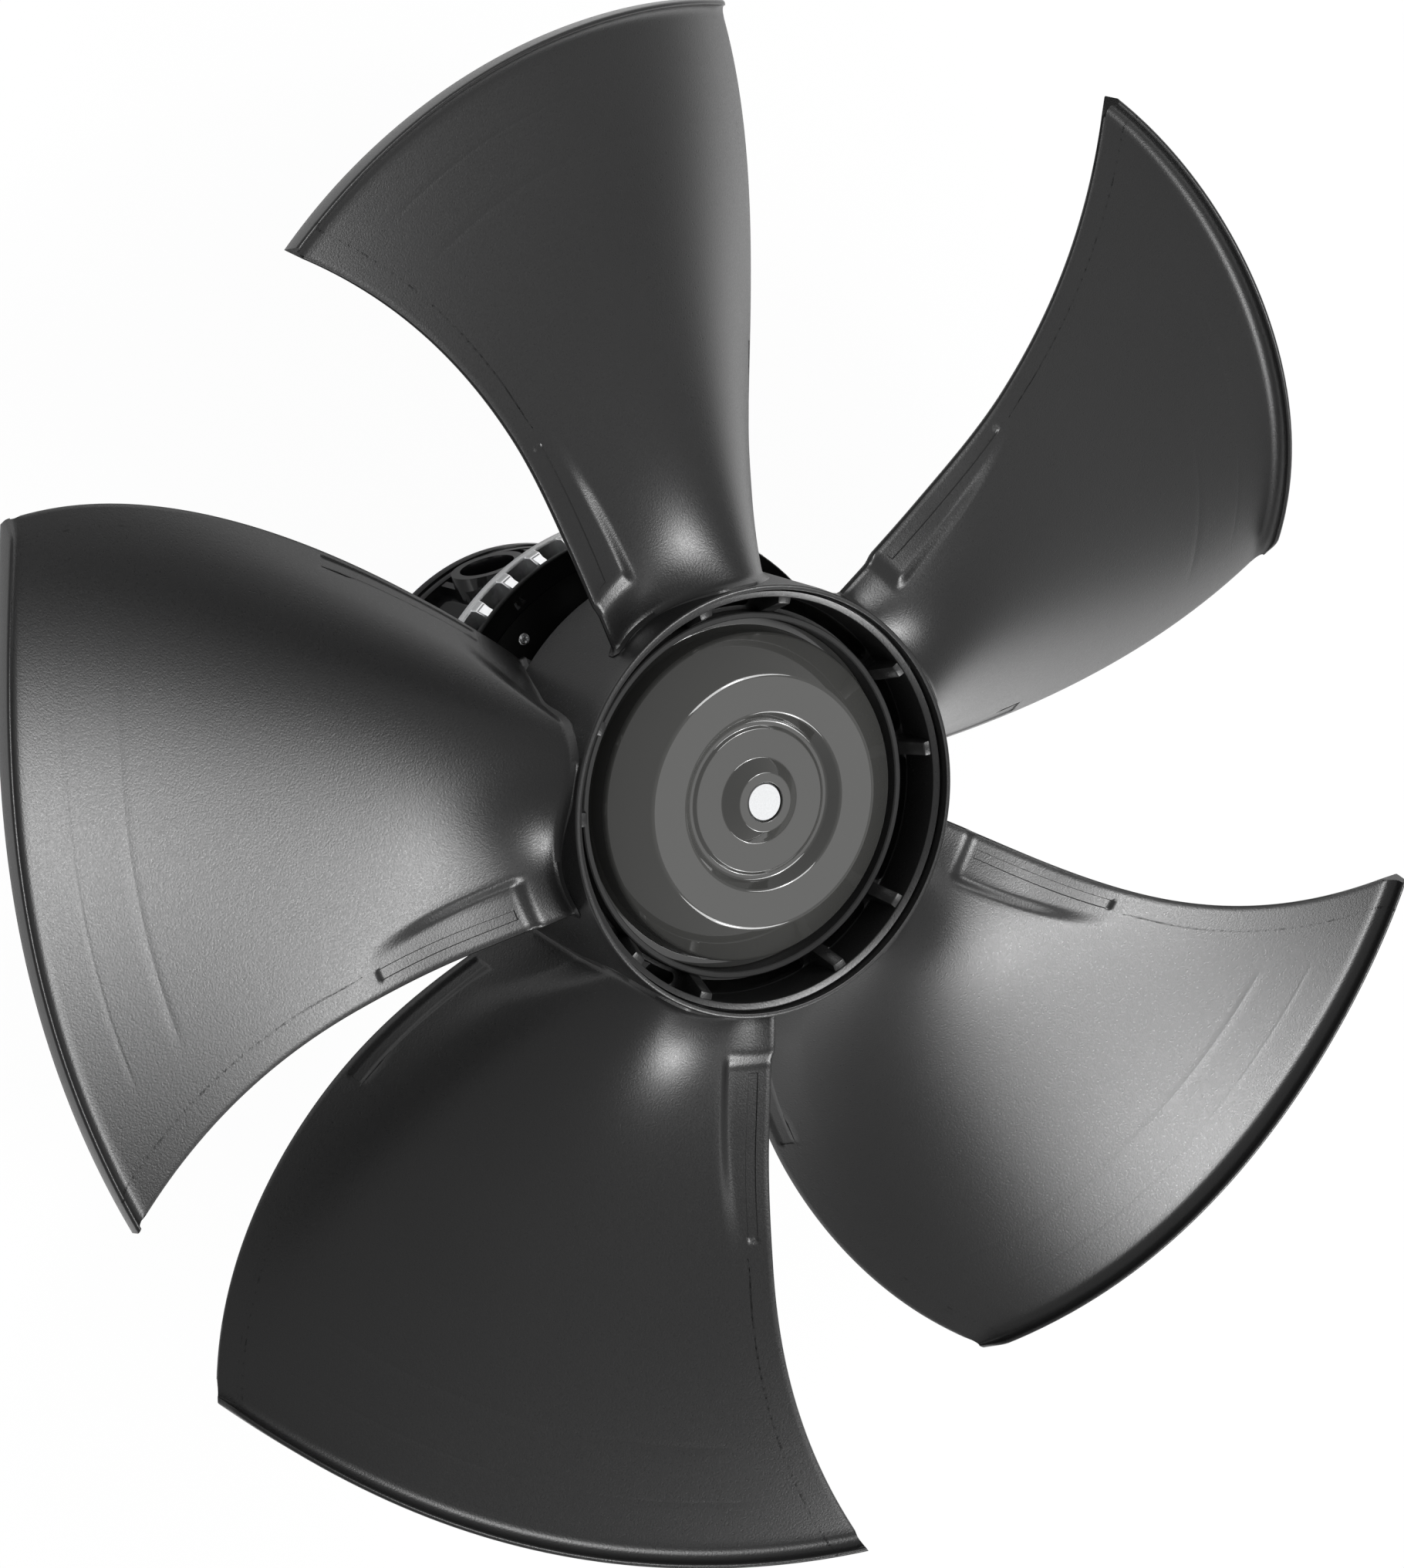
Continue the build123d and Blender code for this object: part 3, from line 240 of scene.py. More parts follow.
def finish(name, colour, roughness, metallic=0.0, grain=900.0, bump=0.1, drift=0.12, driftSize=9.0,
           coat=0.0, coatRoughness=0.1, coatIor=1.5, level=0.5, roughDrift=0.08):
    material = bpy.data.materials.new(name)
    material.use_nodes = True
    tree = material.node_tree
    shader = tree.nodes["Principled BSDF"]
    skin = tree.nodes.new("ShaderNodeGroup")
    skin.node_tree = skinGrain
    skin.inputs["Grain Size"].default_value = grain
    skin.inputs["Drift Size"].default_value = driftSize
    skin.inputs["Drift"].default_value = drift
    tint = tree.nodes.new("ShaderNodeVectorMath")
    tint.operation = "SCALE"
    tint.inputs[0].default_value = colour
    rough = tree.nodes.new("ShaderNodeMapRange")
    rough.inputs["From Min"].default_value = 0.3
    rough.inputs["From Max"].default_value = 0.7
    rough.inputs["To Min"].default_value = roughness - roughDrift / 2
    rough.inputs["To Max"].default_value = roughness + roughDrift / 2
    relief = tree.nodes.new("ShaderNodeBump")
    relief.inputs["Strength"].default_value = bump
    relief.inputs["Distance"].default_value = 0.0002
    link(tree, skin, "Tone", tint, "Scale")
    link(tree, tint, "Vector", shader, "Base Color")
    link(tree, skin, "Height", rough, "Value")
    link(tree, rough, "Result", shader, "Roughness")
    link(tree, skin, "Height", relief, "Height")
    link(tree, relief, "Normal", shader, "Normal")
    shader.inputs["Metallic"].default_value = metallic
    shader.inputs["Specular IOR Level"].default_value = level
    shader.inputs["Coat Weight"].default_value = coat
    shader.inputs["Coat Roughness"].default_value = coatRoughness
    shader.inputs["Coat IOR"].default_value = coatIor
    return material


finishes = {
    "impeller_plastic": finish("impellerPlastic", (0.007, 0.007, 0.0071), 0.31, grain=1000, bump=0.45,
                               drift=0.1, driftSize=7, level=0.62),
    "insert_alloy": finish("insertAlloy", (0.02, 0.02, 0.02), 0.6, grain=700, bump=0.9, level=0.2),
    "rotor_paint": finish("rotorPaint", (0.036, 0.036, 0.0342), 0.2, grain=260, bump=0.02, drift=0.03,
                          coat=1.0, coatRoughness=0.03, coatIor=1.7, level=0.1),
    "ground_steel": finish("groundSteel", (0.86, 0.87, 0.88), 0.22, metallic=1.0, grain=1500, bump=0.05,
                           drift=0.04),
    "spring_steel": finish("springSteel", (0.18, 0.18, 0.19), 0.4, metallic=1.0),
    "magnet": finish("magnetCoat", (0.03, 0.03, 0.032), 0.45),
    "bearing_steel": finish("bearingSteel", (0.62, 0.63, 0.65), 0.2, metallic=1.0),
    "cast_aluminium": finish("castAluminium", (0.95, 0.96, 0.97), 0.22, metallic=0.92, grain=420,
                             bump=0.5, drift=0.1),
    "plate_plastic": finish("platePlastic", (0.004, 0.004, 0.004), 0.42, grain=1000, bump=0.2, level=0.25),
    "screw_steel": finish("screwSteel", (0.9, 0.91, 0.92), 0.2, metallic=0.9, drift=0.08),
    "core_steel": finish("coreSteel", (0.2, 0.21, 0.22), 0.5, metallic=0.9),
    "insulator_plastic": finish("insulatorPlastic", (0.58, 0.56, 0.48), 0.5),
    "copper_wire": finish("copperWire", (0.55, 0.2, 0.08), 0.35, metallic=0.9, grain=300, bump=0.6),
    "seal_rubber": finish("sealRubber", (0.012, 0.012, 0.012), 0.7),
    "lead_jacket": finish("leadJacket", (0.03, 0.03, 0.035), 0.5),
    "housing_plastic": finish("housingPlastic", (0.006, 0.006, 0.0065), 0.16, grain=900, bump=0.03,
                              coat=0.3, coatRoughness=0.05),
    "board_laminate": finish("boardLaminate", (0.02, 0.12, 0.05), 0.35),
    "capacitor_sleeve": finish("capacitorSleeve", (0.02, 0.025, 0.05), 0.25),
    "ferrite": finish("ferriteCoat", (0.05, 0.07, 0.05), 0.4),
    "module_case": finish("moduleCase", (0.015, 0.015, 0.015), 0.5),
    "thermal_pad": finish("thermalPad", (0.3, 0.32, 0.35), 0.8),
    "terminal_plastic": finish("terminalPlastic", (0.03, 0.13, 0.05), 0.4),
}
for entry in frame["record"]["subparts"]:
    for slot in nodes[entry["node"]].material_slots:
        slot.link = "OBJECT"
        slot.material = finishes[entry["material_slot"]]
print("finishes made:", len(finishes))


# ---------- impeller blades ----------
blade = {
    "copies": 5,
    "rootRadius": 112.0 * mm,
    # share of the span, angle in degrees and height above the nose in mm, for each edge
    "rearEdge": [(0.0, 24.6, -72.0), (0.25, 25.7, -112.5), (0.5, 28.7, -125.0),
                 (0.75, 32.8, -122.5), (1.0, 38.5, -106.5)],
    "frontEdge": [(0.0, 87.4, -14.5), (0.25, 82.1, -2.5), (0.5, 81.1, 5.0),
                  (0.75, 83.3, 11.5), (1.0, 87.7, 19.0)],
    "camber": 21.0 * mm,
    "rootCamber": 26.0 * mm,
    "crownLean": 2.6,
    "crownScale": 0.478,
    "swellSpan": 0.35,
    "swellPower": 0.66,
    "rootThickness": 6.5 * mm,
    "tipThickness": 3.8 * mm,
    "edgeShare": 0.45,
    "edgeFullness": 8.8,
    "rootFillet": 3.0 * mm,
    "rootSink": 2.5 * mm,
    "flareRadius": 112.4 * mm,
    "flareReach": 8.0 * mm,
    "rimClearance": 0.5 * mm,
    "barrelLength": 78.0 * mm,
    "lipHeight": 8.2 * mm,
    "lipWidth": 2.6 * mm,
    "lipFillet": 7.0 * mm,
    # inset from the tip in mm, and share of the thickness
    "tipRounding": ((0.0, 0.0), (0.0, 0.7), (0.3, 0.93), (0.9, 1.0)),
    # span where the front pocket starts and ends, with the length of each slope
    "pocketStart": (0.07, 0.03),
    "pocketEnd": (0.22, 0.24),
    "pocketWall": 0.045,
    "rearPocketFade": 0.075,
    # chord before and behind the rear line, and width of the rear pocket's wall
    "rearWall": (0.045, 0.015, 0.06),
    "frontPocketDepth": 3.2 * mm,
    "rearPocketDepth": 20.0 * mm,
    "stripDepth": 0.55 * mm,
    "stripSpans": (0.11, 0.41),
    "grooveSpans": (0.784, 0.886),
    "grooveDepth": 0.05 * mm,
}
bladeLength = tipRadius - blade["rootRadius"]


def smoothStep(value):
    value = np.clip(value, 0.0, 1.0)
    return value * value * (3 - 2 * value)


def edgeValue(stations, span, column):
    total = 0.0
    for here in stations:
        weight = here[column]
        for other in stations:
            if other is not here:
                weight = weight * (span - other[0]) / (here[0] - other[0])
        total = total + weight
    return total


def pocketLine(span):
    # chord at which the pocket along the front edge starts
    return np.interp(span, (0.0, 0.08, 0.25, 0.46), (0.77, 0.80, 0.845, 0.90))


def rearLine(span):
    # chord at which the pocket along the rear edge ends
    return np.interp(span, (0.0, 0.035, 0.15, 0.3, 0.46), (0.21, 0.19, 0.112, 0.095, 0.085))


def skinDrop(span, chord):
    # the pockets along both edges near the root
    start, startRun = blade["pocketStart"]
    end, endRun = blade["pocketEnd"]
    before, _, run = blade["rearWall"]
    ends = smoothStep((span - start) / startRun) * (1 - smoothStep((span - end) / endRun))
    front = ends * smoothStep((chord - pocketLine(span)) / blade["pocketWall"])
    depth = blade["rearPocketDepth"] * np.exp(-np.maximum(span, 0) / blade["rearPocketFade"])
    rear = 1 - smoothStep((chord - rearLine(span) + before) / run)
    return blade["frontPocketDepth"] * front + depth * rear


def bladeSkin(span, chord):
    # radius, angle and height of the blade's front skin
    a0, z0 = edgeValue(blade["rearEdge"], span, 1), edgeValue(blade["rearEdge"], span, 2)
    a1, z1 = edgeValue(blade["frontEdge"], span, 1), edgeValue(blade["frontEdge"], span, 2)
    outer = chord * (1 - chord) * (1 + blade["crownLean"] * (1 - chord) ** 2) / blade["crownScale"]
    inner = np.sin(pi * np.maximum(chord, 0.0) ** blade["swellPower"]) ** 2
    swell = np.maximum(0.0, 1 - span / blade["swellSpan"]) ** 2
    rise = blade["camber"] + blade["rootCamber"] * np.maximum(0.0, 1 - span) ** 3
    radius = blade["rootRadius"] + bladeLength * span
    height = noseZ + (z0 + (z1 - z0) * chord) * mm + rise * (inner * swell + outer * (1 - swell))
    return radius, np.radians(a0 + (a1 - a0) * chord), height - skinDrop(span, chord)


def bladePoint(span, chord, lift, radius=None):
    # a place lifted off the skin; the section lies on a cylinder round the axis
    step = 0.002
    skinRadius, angle, height = bladeSkin(span, chord)
    _, a0, z0 = bladeSkin(span, np.maximum(chord - step, 0))
    _, a1, z1 = bladeSkin(span, np.minimum(chord + step, 1))
    radius = skinRadius if radius is None else radius
    along, up = radius * (a1 - a0), z1 - z0
    length = np.hypot(along, up)
    angle = angle - lift * up / length / radius
    return np.stack([radius * np.cos(angle), radius * np.sin(angle), height + lift * along / length], -1)


def bladeThickness(span, chord):
    full = blade["rootThickness"] + (blade["tipThickness"] - blade["rootThickness"]) * span
    inside = np.sqrt(np.minimum(1.0, blade["edgeFullness"] * np.maximum(0.0, chord * (1 - chord))))
    return full * (blade["edgeShare"] + (1 - blade["edgeShare"]) * inside)


def stripEdge(span, ends):
    # chord of one edge of the front strip, between its inner and outer end
    return np.interp(span, blade["stripSpans"], ends)


def chordColumns(span):
    # columns of the skin follow the pockets and the strips at every span
    before, behind, _ = blade["rearWall"]
    inner, rear = pocketLine(span), rearLine(span)
    knots = [0.012, 0.022, 0.024, 0.046, 0.048, rear - before, rear + behind,
             inner, inner + blade["pocketWall"],
             stripEdge(span, (0.921, 0.941)), stripEdge(span, (0.923, 0.943)),
             stripEdge(span, (0.952, 0.964)), stripEdge(span, (0.954, 0.966)), 0.99]
    counts = [2, 1, 4, 1, 3, 8, 40, 8, 3, 1, 4, 1, 3]
    line = []
    for start, end, count in zip(knots, knots[1:], counts):
        line += [start + (end - start) * step / count for step in range(count)]
    return np.array(line + [knots[-1]])


def spanRows():
    fillet = blade["flareReach"] / bladeLength
    start = -blade["rootSink"] / bladeLength
    rows = [start] + list(fillet * np.linspace(0.05, 1.3, 9)) + list(np.linspace(0.05, 0.14, 12))
    rows += [0.1095, 0.1115, 0.4055, 0.4075, 0.43, 0.437]
    rows += list(np.linspace(0.155, 0.955, 44))
    for groove in blade["grooveSpans"]:
        rows += [groove - 0.0035, groove - 0.001, groove + 0.001, groove + 0.0035]
    rows = sorted(rows)
    return [row for place, row in enumerate(rows) if place == 0 or row - rows[place - 1] > 0.0009]


def frontLift(span, chord):
    # strips let into the pockets, and fine arcs towards the tip
    rear = (chord > 0.0232) * (chord < 0.0468)
    front = (chord > stripEdge(span, (0.922, 0.942))) * (chord < stripEdge(span, (0.953, 0.965)))
    strip = (0.11 < span < 0.407) * (rear + front)
    lift = -blade["stripDepth"] * strip
    for groove in blade["grooveSpans"]:
        lift = lift - blade["grooveDepth"] * (abs(span - groove) < 0.002) * (chord > 0.125) * (chord < 0.845)
    return lift


def rootFlare(span, chord, side):
    # the blade's skin turns along the barrel, and stays below the rim and above the barrel's rear edge
    radius, _, height = bladeSkin(span, chord)
    near = np.clip(1 - (radius - blade["flareRadius"]) / blade["rootFillet"], 0.0, 1.0)
    flare = blade["rootFillet"] * (1 - np.sqrt(1 - near ** 2))
    if side > 0:
        room = noseZ - blade["rimClearance"] - height
    else:
        room = height - (noseZ - blade["barrelLength"])
    return np.minimum(flare, np.maximum(room, 0.0))


def bladeMesh():
    rows, verts, faces = spanRows(), [], []
    lipTop, lipWidth, lipFillet = blade["lipHeight"], blade["lipWidth"], blade["lipFillet"]
    lipSteps, edgeSteps = 6, 4
    lipRows = []                    # (distance inwards from the tip, height above the skin)
    for step in range(1, lipSteps + 1):
        turn = radians(90 * step / lipSteps)
        lipRows.append((lipWidth + lipFillet * (1 - sin(turn)), lipFillet * (1 - cos(turn)) * 0.9))
    for step in range(lipSteps + 1):
        turn = radians(180 * step / lipSteps)
        lipRows.append((lipWidth / 2 * (1 + cos(turn)), lipTop - lipWidth / 2 * (1 - sin(turn))))
    sheets = []
    for span in rows:
        chord = chordColumns(span)
        sheets.append(bladePoint(span, chord, frontLift(span, chord) + rootFlare(span, chord, 1)))
    lastSpan = 1 - (lipWidth + lipFillet) / bladeLength
    chord = chordColumns(1.0)
    sheets.append(bladePoint(lastSpan, chord, 0.0))
    ends = smoothStep(chord / 0.05) * 0.75 + 0.25 * smoothStep(chord / 0.02 + 0.4)
    for inset, height in lipRows:
        span = 1 - inset / bladeLength
        sheets.append(bladePoint(span, chord, height * ends))
    thickness = bladeThickness(1.0, chord)
    for inset, share in blade["tipRounding"]:
        span = 1 - inset * mm / bladeLength
        sheets.append(bladePoint(span, chord, -thickness * share))
    frontCount, total = len(rows) + 1, len(sheets)
    backRows = [lastSpan] + rows[::-1]
    for span in backRows:
        chord = chordColumns(min(span, 1.0))
        sheets.append(bladePoint(span, chord, -bladeThickness(span, chord) - rootFlare(span, chord, -1)))
    columns = len(chordColumns(0.5))
    for sheet in sheets:
        verts += list(sheet)
    for row in range(len(sheets) - 1):
        for column in range(columns - 1):
            base = row * columns + column
            faces.append((base, base + 1, base + columns + 1, base + columns))
    # the two long edges are rounded between the front row and the back row of one span
    for column, chordEnd, away in ((0, 0.0, -1), (columns - 1, 1.0, 1)):
        rims = []
        for row in range(frontCount):
            mate = len(sheets) - 1 - row
            front, back = sheets[row][column], sheets[mate][column]
            inwards = sheets[row][column - away]
            outward = front - inwards
            outward = outward / np.linalg.norm(outward)
            bulge = np.linalg.norm(front - back) / 2
            rim = [row * columns + column]
            for step in range(1, edgeSteps):
                turn = pi * step / edgeSteps
                middle = (front + back) / 2 + (front - back) / 2 * cos(turn) + outward * bulge * sin(turn)
                verts.append(middle)
                rim.append(len(verts) - 1)
            rims.append(rim + [mate * columns + column])
        for near, far in zip(rims, rims[1:]):
            for step in range(edgeSteps):
                faces.append((near[step], near[step + 1], far[step + 1], far[step]))
        lipLoop = [row * columns + column for row in range(frontCount - 1, total + 1)]
        faces.append(tuple(lipLoop + rims[-1][edgeSteps - 1:0:-1]))
    rootFront = list(range(columns))
    rootBack = [(len(sheets) - 1) * columns + column for column in range(columns)]
    for column in range(columns - 1):
        faces.append((rootFront[column], rootFront[column + 1], rootBack[column + 1], rootBack[column]))
    return verts, faces


impellerBlades = makePiece("impellerBlades", *bladeMesh(), smoothAngle=42)
ringed(impellerBlades, blade["copies"], finishes["impeller_plastic"])
impellerBlades.data.set_sharp_from_angle(angle=radians(42))
print("blades made:", len(impellerBlades.data.polygons), "faces")

# ---------- impeller hub ----------
hub = {
    "frontRise": 2.0 * mm,
    "length": 82.0 * mm,
    "frontRadius": 111.7 * mm,
    "rearRadius": 113.7 * mm,
    "wall": 4.5 * mm,
    "rimEdge": 0.7 * mm,
    "stepRadius": 108.3 * mm,
    "stepHeight": 5.5 * mm,
    "stepLand": 3.9 * mm,
    "ledgeSlope": 0.6 * mm,
    "ledgeRise": 0.9 * mm,
    "ledgeGroove": 1.6 * mm,
    "lipDrop": 10.0 * mm,
    "pocketRadius": 104.0 * mm,
    "pocketDepth": 31.0 * mm,
    "floor": 4.0 * mm,
    "sleeve": 1.9 * mm,
    "ribAngles": (36.0, 62.0),
    "ribWidth": 8.6 * mm,
    "ribFlare": 1.15,
    "ribDraft": 0.2,
    "ribFoot": 1.0 * mm,
    "ribIntoWall": 0.8 * mm,
    "ribIntoRing": 0.2 * mm,
    "ribRounding": 0.6 * mm,
    "facetDrop": 1.2 * mm,
    "facetWidth": 3.4 * mm,
    "facetFall": 0.5 * mm,
    # the rib's toe over the insert ring: width, drop and height
    "toe": (0.6 * mm, 0.4 * mm, 2.5 * mm),
    "rearRibWidth": 3.0 * mm,
    "rearRibSink": 0.5 * mm,
    "rearRibToe": 2.0 * mm,
    "rearRibLift": 4.0 * mm,
    "rearRibRounding": 0.5 * mm,
    "slotWidth": 6.7 * mm,
    "slotWall": 2.2 * mm,
    "slotOver": 3.0 * mm,
    "rounding": 0.8 * mm,
}


def hubBody():
    front = noseZ + hub["frontRise"]
    rear, floorTop = front - hub["length"], front - hub["pocketDepth"]
    floorBottom, sleeve = floorTop - hub["floor"], insertRadius + hub["sleeve"]
    bend, ledge = hub["rounding"], front - hub["stepHeight"]
    land = hub["pocketRadius"] + hub["stepLand"]
    corners = [
        (insertRadius, floorBottom, 0), (insertRadius, floorTop, 0.4 * mm),
        (hub["pocketRadius"], floorTop, 2 * bend),
        (hub["pocketRadius"], ledge - hub["ledgeSlope"], 0.7 * mm),
        (land - hub["ledgeSlope"], ledge + hub["ledgeRise"], 0.3 * mm),
        (land, ledge - hub["ledgeGroove"], 0.2 * mm),
        (hub["stepRadius"], ledge - hub["ledgeGroove"], 0.2 * mm),
        (hub["stepRadius"] + 0.1 * mm, front, 0.4 * mm),
        (hub["frontRadius"] - hub["rimEdge"], front, 1.3 * mm),
        (hub["frontRadius"], front - hub["lipDrop"], 0),
        (hub["rearRadius"], rear, bend), (hub["rearRadius"] - hub["wall"], rear, bend),
        (hub["frontRadius"] - hub["wall"], floorBottom, 2 * bend), (sleeve, floorBottom, bend),
        (sleeve, insertRearZ, 0.3 * mm), (insertRadius, insertRearZ, 0.3 * mm)]
    return revolved("hubBody", roundedOutline(corners), 300)


def slotCutter(start, end):
    # a curved slot with round ends, through the hub's floor
    middle = (insertRadius + hub["sleeve"] + hub["pocketRadius"]) / 2
    half = hub["slotWidth"] / 2
    clear = (hub["ribWidth"] / 2 + half + hub["slotWall"]) / middle
    first, last = radians(start) + clear, radians(end) - clear
    arcSteps, endSteps, outline = 24, 12, []
    for step in range(arcSteps + 1):
        angle = first + (last - first) * step / arcSteps
        outline.append(((middle + half) * cos(angle), (middle + half) * sin(angle)))
    for centre, base in ((last, 0), (first, 180)):
        cx, cy = middle * cos(centre), middle * sin(centre)
        for step in range(1, endSteps):
            angle = centre + radians(base + 180 * step / endSteps)
            outline.append((cx + half * cos(angle), cy + half * sin(angle)))
        if base == 0:
            for step in range(arcSteps + 1):
                angle = last + (first - last) * step / arcSteps
                outline.append(((middle - half) * cos(angle), (middle - half) * sin(angle)))
    top = noseZ + hub["frontRise"] - hub["pocketDepth"] + hub["slotOver"]
    bottom = top - hub["floor"] - 2 * hub["slotOver"]
    count = len(outline)
    verts = [(x, y, bottom) for x, y in outline] + [(x, y, top) for x, y in outline]
    faces = [tuple(range(count))[::-1], tuple(range(count, 2 * count))]
    faces += [(i, (i + 1) % count, count + (i + 1) % count, count + i) for i in range(count)]
    return makePiece("slotCutter", verts, faces)


def cornerRounded(obj, width, segments=2, angle=30):
    bevel = obj.modifiers.new("bevel", "BEVEL")
    bevel.width, bevel.segments = width, segments
    bevel.limit_method, bevel.angle_limit = "ANGLE", radians(angle)
    return settled(obj)


def hubRib(angle):
    # a rib from the barrel's wall down to the insert ring, with a flat top facet and drafted sides
    front = noseZ + hub["frontRise"]
    low, facet = front - hub["pocketDepth"] - hub["ribFoot"], front - hub["stepHeight"] - hub["facetDrop"]
    inner = insertRadius - hub["ribIntoRing"]
    outer = hub["pocketRadius"] + hub["ribIntoWall"] + hub["stepLand"]
    toeWidth, toeDrop, toeHeight = hub["toe"]
    profile = [(inner, low), (outer, low), (outer, facet),
               (hub["pocketRadius"] - hub["facetWidth"], facet - hub["facetFall"]),
               (inner + toeWidth, insertFrontZ - toeDrop), (inner, insertFrontZ - toeHeight)]

    def halfWidth(radius, height):
        share = (height - low) / (facet - low)
        return hub["ribWidth"] / 2 * (hub["ribFlare"] - hub["ribDraft"] * share) * (radius / outer) ** 2

    rib = drawnOut("hubRib", profile, halfWidth)
    rib.data.transform(Matrix.Rotation(radians(angle), 4, "Z"))
    return cornerRounded(rib, hub["ribRounding"], 2)


def rearRib(angle):
    # a thin rib behind the floor, between the sleeve and the barrel's wall
    front = noseZ + hub["frontRise"]
    rear, floorBottom = front - hub["length"], front - hub["pocketDepth"] - hub["floor"]
    inner, outer = insertRadius + hub["sleeve"] * 0.5, hub["rearRadius"] - hub["wall"] + hub["rearRibSink"]
    foot, high = floorBottom + hub["ribFoot"], rear + hub["rearRibLift"]
    profile = [(inner, foot), (inner, insertRearZ + hub["ribFoot"]),
               (outer - hub["rearRibToe"], high), (outer, high),
               (hub["frontRadius"] - hub["wall"] + hub["rearRibSink"], foot)]
    rib = drawnOut("rearRib", profile, lambda radius, height: hub["rearRibWidth"] / 2)
    rib.data.transform(Matrix.Rotation(radians(angle), 4, "Z"))
    return cornerRounded(rib, hub["rearRibRounding"], 1)


body = hubBody()
pairs = list(zip(hub["ribAngles"], (hub["ribAngles"][1], hub["ribAngles"][0] + 360 / blade["copies"])))
cutters = joined("slotCutters", [slotCutter(start, end) for start, end in pairs])
ringed(cutters, blade["copies"], finishes["impeller_plastic"])
cut = body.modifiers.new("slots", "BOOLEAN")
cut.operation, cut.object, cut.solver = "DIFFERENCE", cutters, "EXACT"
settled(body)
bpy.data.objects.remove(cutters)
ribs = joined("hubRibs", [hubRib(angle) for angle in hub["ribAngles"]]
              + [rearRib(angle) for angle in hub["ribAngles"]])
ringed(ribs, blade["copies"], finishes["impeller_plastic"])
impellerHub = joined("impellerHub", [body, ribs])
impellerHub.data.materials.clear()
impellerHub.data.materials.append(finishes["impeller_plastic"])
impellerHub.data.shade_smooth()
impellerHub.data.set_sharp_from_angle(angle=radians(35))
for piece in (impellerBlades, impellerHub):
    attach(piece, "rotor")
    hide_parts("impeller")
print("hub made:", len(impellerHub.data.polygons), "faces")

# ---------- rotor can ----------
can = {
    "wall": 5.0 * mm,
    "annulusDrop": 1.0 * mm,
    "annulusInner": 45.5 * mm,
    "annulusOuter": 65.3 * mm,
    "slopeRadius": 84.5 * mm,
    "slopeDepth": 15.0 * mm,
    "crownRadius": 86.5 * mm,
    "crownHeight": 30.0 * mm,
    "edgeRounding": 5.0 * mm,
    "dishRadius": 41.0 * mm,
    "dishDepth": 5.0 * mm,
    "grooveRadius": 36.8 * mm,
    "grooveDepth": 1.0 * mm,
    "grooveSlope": 1.6 * mm,
    "bossRadius": 15.2 * mm,
    "bossFoot": 22.0 * mm,
    "bossHeight": 6.0 * mm,
}


def rotorCanShape():
    top = noseZ - can["annulusDrop"]
    dish, shoulder = top - can["dishDepth"], top - can["slopeDepth"]
    wall, crown, seat = can["wall"], top - can["crownHeight"], dish - can["grooveDepth"]
    corners = [
        (canRadius, canRearZ, 0.5 * mm), (canRadius, crown, 0.8 * mm), (can["crownRadius"], crown, 0.3 * mm),
        (can["slopeRadius"], shoulder, can["edgeRounding"]), (can["annulusOuter"], top, 4 * mm),
        (can["annulusInner"], top, 2.5 * mm), (can["dishRadius"], seat, 2 * mm),
        (can["grooveRadius"] + can["grooveSlope"], seat, 1 * mm),
        (can["grooveRadius"], dish, 1 * mm),
        (can["bossFoot"], noseZ - can["bossHeight"], 1.2 * mm), (can["bossRadius"], noseZ, 1.0 * mm),
        (shaftRadius + 0.3 * mm, noseZ, 0.3 * mm), (shaftRadius + 0.3 * mm, dish - wall, 0),
        (can["dishRadius"], dish - wall, 2 * mm), (can["annulusInner"] + 2 * mm, top - wall, 2 * mm),
        (can["annulusOuter"] - 2 * mm, top - wall, 2 * mm),
        (can["slopeRadius"] - wall, shoulder - 3 * mm, 2 * mm),
        (can["crownRadius"] - wall, crown, 2 * mm), (canRadius - wall, crown - wall, 2 * mm),
        (canRadius - wall, canRearZ, 0.5 * mm)]
    return revolved("rotorCan", roundedOutline(corners, 9), 300, 50)


rotorCan = rotorCanShape()
rotorCan.data.materials.append(finishes["rotor_paint"])
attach(rotorCan, "rotor")
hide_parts("rotor_can")
print("rotor can made")

# ---------- screws on the splash plate ----------
screw = {
    "copies": 6,
    "angle": 88.6,
    "circle": 102.5 * mm,
    "headRadius": 3.4 * mm,
    "headHeight": 2.2 * mm,
    "rimShare": 0.25,
    "recess": 1.2 * mm,
    "driveRadius": 1.75 * mm,
    "driveDepth": 1.1 * mm,
    "lobes": 6,
    "lobeDepth": 0.2,
    "length": 9.0 * mm,
    "shank": 1.75 * mm,
}


